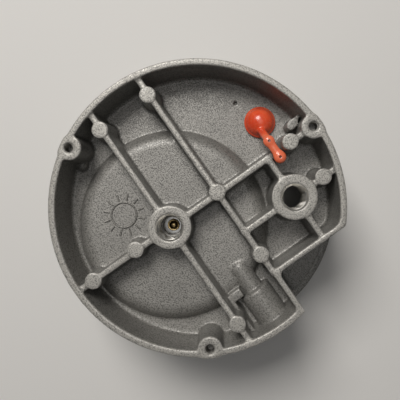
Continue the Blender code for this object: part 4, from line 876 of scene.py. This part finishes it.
def plug_distance(x, y, z):
    """The relief plug: a glossy dome on a thin flange, a stem, and a pull tail with two dimpled bulbs."""
    seat = PLUG_SEAT_Z
    radius = circle(x, y, PLUG, 0.0)
    flange = smooth_max(radius - PLUG_FLANGE_RADIUS, np.abs(z - seat - 0.45) - 0.42, 0.4)
    ball = np.sqrt(radius**2 + (z - (seat - PLUG_DOME_DROP)) ** 2) - PLUG_DOME_RADIUS
    dome = np.maximum(ball, seat - z)
    stem = np.maximum(radius - PLUG_STEM_RADIUS, np.maximum(CEILING_Z - PLUG_STEM_REACH - z, z - seat - 1.0))
    head = smooth_min(smooth_min(flange, dome, 0.6), stem, 0.2)
    (near_x, near_radius), (far_x, far_radius) = TAIL_BULBS
    near, far = np.array((near_x, TAIL_Y, TAIL_Z)), np.array((far_x, TAIL_Y, TAIL_Z))
    start = np.array((PLUG[0] - 3.0, TAIL_Y - 1.0, seat + 3.4))

    def strap(a, b, half):
        run = b - a
        along = ((x - a[0]) * run[0] + (y - a[1]) * run[1] + (z - a[2]) * run[2]) / (run @ run)
        along = np.clip(along, 0.0, 1.0)
        away = [c - a[k] - along * run[k] for k, c in enumerate((x, y, z))]
        return np.sqrt(away[0] ** 2 + away[1] ** 2 + (TAIL_FLATNESS * away[2]) ** 2) - half

    def bulb(centre, half):
        aside = (x - centre[0]) ** 2 + (y - centre[1]) ** 2
        above = z - centre[2]
        sphere = np.sqrt(aside + (TAIL_FLATNESS * above) ** 2) - half
        dimple = np.sqrt(aside + (above - half / TAIL_FLATNESS) ** 2) - TAIL_DIMPLE_RADIUS
        return smooth_max(sphere, -dimple, 0.25)

    near_half, far_half = TAIL_HALF_WIDTHS
    tail = smooth_min(strap(start, near, near_half), strap(near, far, far_half), 0.8)
    tail = smooth_min(tail, bulb(near, near_radius), 1.2)
    tail = smooth_min(tail, bulb(far, far_radius), 1.2)
    return smooth_min(head, tail, 0.9)


def mould_plug():
    low, high = (-6.0, -46.0, CEILING_Z - 2.4), (21.5, -31.0, RIM_Z - MARGIN)
    points, quads = sampled(low, high, PLUG_GRID, plug_distance)
    plug = linked("relief_plug_moulding", mesh_from_arrays("relief_plug_moulding", points * MM, quads))
    keep_triangles(plug, MOST_PLUG_TRIANGLES)
    silicone().give(plug)
    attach(plug, "relief_plug")
    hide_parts("relief_plug")


mould_plug()

# ---------------------------------------------------------------- bezel and dial

BEZEL_OPENING = BEZEL_RADIUS - 9.325
BEZEL_BORE = BEZEL_RADIUS - 3.925
BEZEL_LIP = 1.8
BEZEL_ROUNDING = 0.8
GROOVE_BOTTOM = BEZEL_RADIUS - 0.5
bezel_outline = rounded(
    (
        (BEZEL_BORE, BEZEL_DEPTH),
        (BEZEL_RADIUS, BEZEL_DEPTH),
        (BEZEL_RADIUS, 8.6),
        (GROOVE_BOTTOM, 8.2),
        (GROOVE_BOTTOM, 7.4),
        (BEZEL_RADIUS, 7.0),
        (BEZEL_RADIUS, 0.0),
        (BEZEL_OPENING, 0.0),
        (BEZEL_OPENING, BEZEL_LIP),
        (BEZEL_BORE, BEZEL_LIP),
    ),
    BEZEL_ROUNDING,
)
bezel = turned("bezel_ring", bezel_outline, steps=256)
hammertone("hammertone_bezel", wear_and_corner_shade=False).give(bezel)
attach(bezel, "bezel")
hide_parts("bezel")

DIAL_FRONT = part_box("dial")[0].z / MM
PIVOT_Y = -22.0
SWEEP = 40.0  # degrees of the scale on each side of twelve o'clock
SCALE_RADIUS = 58.0
ARC_RADIUS = 57.6  # inner edge of the arc that joins the divisions
ARC_STEPS = 80
DIVISIONS = 50
MAJOR = (6.5, 0.4)  # length and half width of a division
MIDDLE = (4.8, 0.3)
MINOR = (3.2, 0.16)
NUMERAL_RADIUS = 52.0
NUMERAL_SIZE = 6.4
NUMERALS = 6
PRINT = enamel("scale_black", (0.015, 0.015, 0.016), 0.4)


def scale_place(distance, degrees):
    turn = math.radians(degrees)
    return distance * math.sin(turn), PIVOT_Y + distance * math.cos(turn)


def print_scale():
    """Division lines and numbers on the dial's face, with the arc that joins them."""
    bm = bmesh.new()
    front, back = DIAL_FRONT - 0.06, DIAL_FRONT + 0.02

    def stroke(corners):
        low = [bm.verts.new((x * MM, y * MM, front * MM)) for x, y in corners]
        high = [bm.verts.new((x * MM, y * MM, back * MM)) for x, y in corners]
        bm.faces.new(low)
        bm.faces.new(high[::-1])
        for k in range(len(corners)):
            j = (k + 1) % len(corners)
            bm.faces.new((low[k], low[j], high[j], high[k]))

    def along_scale(index, count):
        return SWEEP - 2 * SWEEP * index / count

    for index in range(DIVISIONS + 1):
        angle = along_scale(index, DIVISIONS)
        length, half = MAJOR if index % 10 == 0 else MIDDLE if index % 5 == 0 else MINOR
        spread = math.degrees(half / SCALE_RADIUS)
        corners = ((0, -1), (0, 1), (1, 1), (1, -1))
        stroke([scale_place(SCALE_RADIUS + out * length, angle + side * spread) for out, side in corners])
    for index in range(ARC_STEPS):
        a, b = along_scale(index, ARC_STEPS), along_scale(index + 1, ARC_STEPS)
        inner, outer = ARC_RADIUS, SCALE_RADIUS
        stroke([scale_place(inner, a), scale_place(inner, b), scale_place(outer, b), scale_place(outer, a)])
    marks = finished("dial_divisions", bm, smooth=False)
    PRINT.give(marks)
    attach(marks, "case")
    facing = Matrix.Rotation(math.pi, 4, "Y")
    for index in range(NUMERALS):
        curve = bpy.data.curves.new(f"numeral_{index * 2}", "FONT")
        curve.body = str(index * 2)
        curve.size = NUMERAL_SIZE * MM
        curve.align_x, curve.align_y = "CENTER", "CENTER"
        curve.extrude = 0.02 * MM
        text = linked(f"numeral_{index * 2}_text", curve)
        x, y = scale_place(NUMERAL_RADIUS, along_scale(index, NUMERALS - 1))
        text.matrix_world = Matrix.Translation((x * MM, y * MM, (DIAL_FRONT - 0.02) * MM)) @ facing
        bpy.context.view_layer.update()
        graph = bpy.context.evaluated_depsgraph_get()
        mesh = bpy.data.meshes.new_from_object(text.evaluated_get(graph))
        mesh.transform(text.matrix_world)
        bpy.data.objects.remove(text)
        numeral = linked(f"numeral_{index * 2}", mesh)
        PRINT.give(numeral)
        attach(numeral, "case")


print_scale()

# ---------------------------------------------------------------- brass rivet, seen down the centre port


def turn_link():
    """The rivet's head with its dished ring, the rod, and the shoulder and nut on each side of the spring."""
    low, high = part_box("diaphragm_link")
    head = high.z / MM
    outline = [(0.0, head - 0.02), (0.62, head - 0.1), (1.05, head - 0.3), (1.3, head - 0.5), (1.42, head - 0.56)]
    outline += [(1.62, head - 0.7), (1.75, head - 0.62), (2.15, head - 0.56), (2.38, head - 0.72), (2.4, head - 1.1)]
    outline += [(1.0, head - 1.1), (1.0, 31.2), (2.2, 31.2), (2.2, 30.4), (1.0, 30.4), (1.0, 29.1), (2.2, 29.1)]
    outline += [(2.2, low.z / MM), (0.0, low.z / MM)]
    link = turned("link_rivet", outline, (0.0, DOME_Y), 64)
    machined("turned_brass", (0.80, 0.60, 0.30), 0.22).give(link)
    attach(link, "diaphragm_plates")
    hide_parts("diaphragm_link")


turn_link()

# ---------------------------------------------------------------- range spring


def leaf_spring():
    """The leaf in short rows, with the rod's hole through it."""
    low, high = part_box("range_spring")
    bm = bmesh.new()
    columns, rows = 6, 48
    levels = []
    for z in (low.z, high.z):
        grid = []
        for j in range(rows + 1):
            y = low.y + (high.y - low.y) * j / rows
            grid.append([bm.verts.new((low.x + (high.x - low.x) * i / columns, y, z)) for i in range(columns + 1)])
        levels.append(grid)
    for level, flip in ((levels[0], True), (levels[1], False)):
        for j in range(rows):
            for i in range(columns):
                quad = (level[j][i], level[j][i + 1], level[j + 1][i + 1], level[j + 1][i])
                bm.faces.new(quad[::-1] if flip else quad)
    rim = [(j, 0) for j in range(rows)] + [(rows, i) for i in range(columns)]
    rim += [(j, columns) for j in range(rows, 0, -1)] + [(0, i) for i in range(columns, 0, -1)]
    for k, (j, i) in enumerate(rim):
        jj, ii = rim[(k + 1) % len(rim)]
        bm.faces.new((levels[0][j][i], levels[0][jj][ii], levels[1][jj][ii], levels[1][j][i]))
    spring = finished("range_leaf", bm)
    hole = [(0.0, 28.0), (1.4, 28.0), (1.4, 32.0), (0.0, 32.0)]
    cutter = turned("leaf_hole", hole, (0.0, DOME_Y), 32)
    cut_hole = spring.modifiers.new("hole", "BOOLEAN")
    cut_hole.operation, cut_hole.solver, cut_hole.object = "DIFFERENCE", "EXACT", cutter
    apply_modifiers(spring)
    spring.data.set_sharp_from_angle(angle=math.radians(35.0))
    bpy.data.objects.remove(cutter)
    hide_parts("range_spring")
    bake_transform(spring)
    return spring


SPRING_STEEL = brushed("spring_steel", (0.50, 0.51, 0.53), 0.28, (8.0, 1.0, 1.0))
SPRING_STEEL.give(leaf_spring())

# ---------------------------------------------------------------- the CAD's own pieces

PLATED = brushed("zinc_plate", (0.66, 0.66, 0.63), 0.34)
ALUMINIUM = brushed("stamped_aluminium", (0.80, 0.80, 0.79), 0.36)
BRASS = machined("brass", (0.78, 0.58, 0.28), 0.26)
BLACK_RUBBER = rubber_of("black_rubber", (0.02, 0.02, 0.02), 0.6)
GREY_SILICONE = rubber_of("grey_silicone", (0.20, 0.19, 0.18), 0.55)
WHITE = enamel("white_enamel", (0.82, 0.82, 0.79))
ACRYLIC = acrylic()
RUBY = jewel()
ALLOY = brushed("magnet_alloy", (0.25, 0.25, 0.26), 0.5)
BY_SLOT = {
    "plated_steel": PLATED,
    "spring_steel": SPRING_STEEL,
    "aluminium": ALUMINIUM,
    "brass": BRASS,
    "black_rubber": BLACK_RUBBER,
    "grey_silicone": GREY_SILICONE,
    "white_enamel": WHITE,
    "clear_acrylic": ACRYLIC,
    "jewel": RUBY,
    "magnet_alloy": ALLOY,
}
for part in frame["record"]["subparts"]:
    node = frame["nodes"][part["node"]]
    if not node.hide_render:
        BY_SLOT[part["material_slot"]].give(node)

# ---------------------------------------------------------------- floor, light and camera

FLOOR_REACH = 3.0
floor_mesh = bpy.data.meshes.new("floor")
floor_corners = [(x * FLOOR_REACH, y * FLOOR_REACH, 0) for x, y in ((-1, -1), (1, -1), (1, 1), (-1, 1))]
floor_mesh.from_pydata(floor_corners, [], [(0, 1, 2, 3)])
floor = linked("floor", floor_mesh)
floor.location.z = -0.0002
Finish("pale_floor", (0.74, 0.73, 0.71), 0.85).give(floor)

RIGHT = Vector((-0.5746, -0.8184, 0.0)).normalized()
UP = Vector((0.8184, -0.5746, 0.0)).normalized()


def area_light(name, across, along, height, size, power, colour):
    """A square light, placed in metres across and along the picture, and aimed at the gauge."""
    lamp = bpy.data.lights.new(name, "AREA")
    lamp.size, lamp.energy, lamp.color = size, power, colour
    made = linked(name, lamp)
    made.location = RIGHT * across + UP * along + Vector((0.0, 0.0, height))
    aim = Vector((0.0, 0.0, 0.03)) - made.location
    made.rotation_mode = "QUATERNION"
    made.rotation_quaternion = aim.to_track_quat("-Z", "Y")


area_light("window", -0.22, 0.50, 0.80, 0.40, 7.0, (1.0, 0.97, 0.93))
area_light("overhead", 0.05, 0.12, 1.2, 0.7, 1.7, (1.0, 0.98, 0.95))

world = bpy.data.worlds.new("studio")
world.use_nodes = True
world.node_tree.nodes["Background"].inputs["Color"].default_value = (0.93, 0.95, 1.0, 1.0)
world.node_tree.nodes["Background"].inputs["Strength"].default_value = 0.05
bpy.context.scene.world = world
bpy.context.scene.view_settings.view_transform = "Standard"

camera_data = bpy.data.cameras.new("camera")
camera_data.sensor_width = 36.0
camera_data.lens = 42.55
camera_data.shift_x, camera_data.shift_y = -0.0625, -0.025
camera_data.clip_start = 0.01
camera = linked("camera", camera_data)
camera.location = Vector((-0.44, -12.06, 229.7)) * MM
camera.rotation_mode = "QUATERNION"
camera.rotation_quaternion = Matrix((RIGHT, UP, RIGHT.cross(UP))).transposed().to_quaternion()
bpy.context.scene.camera = camera
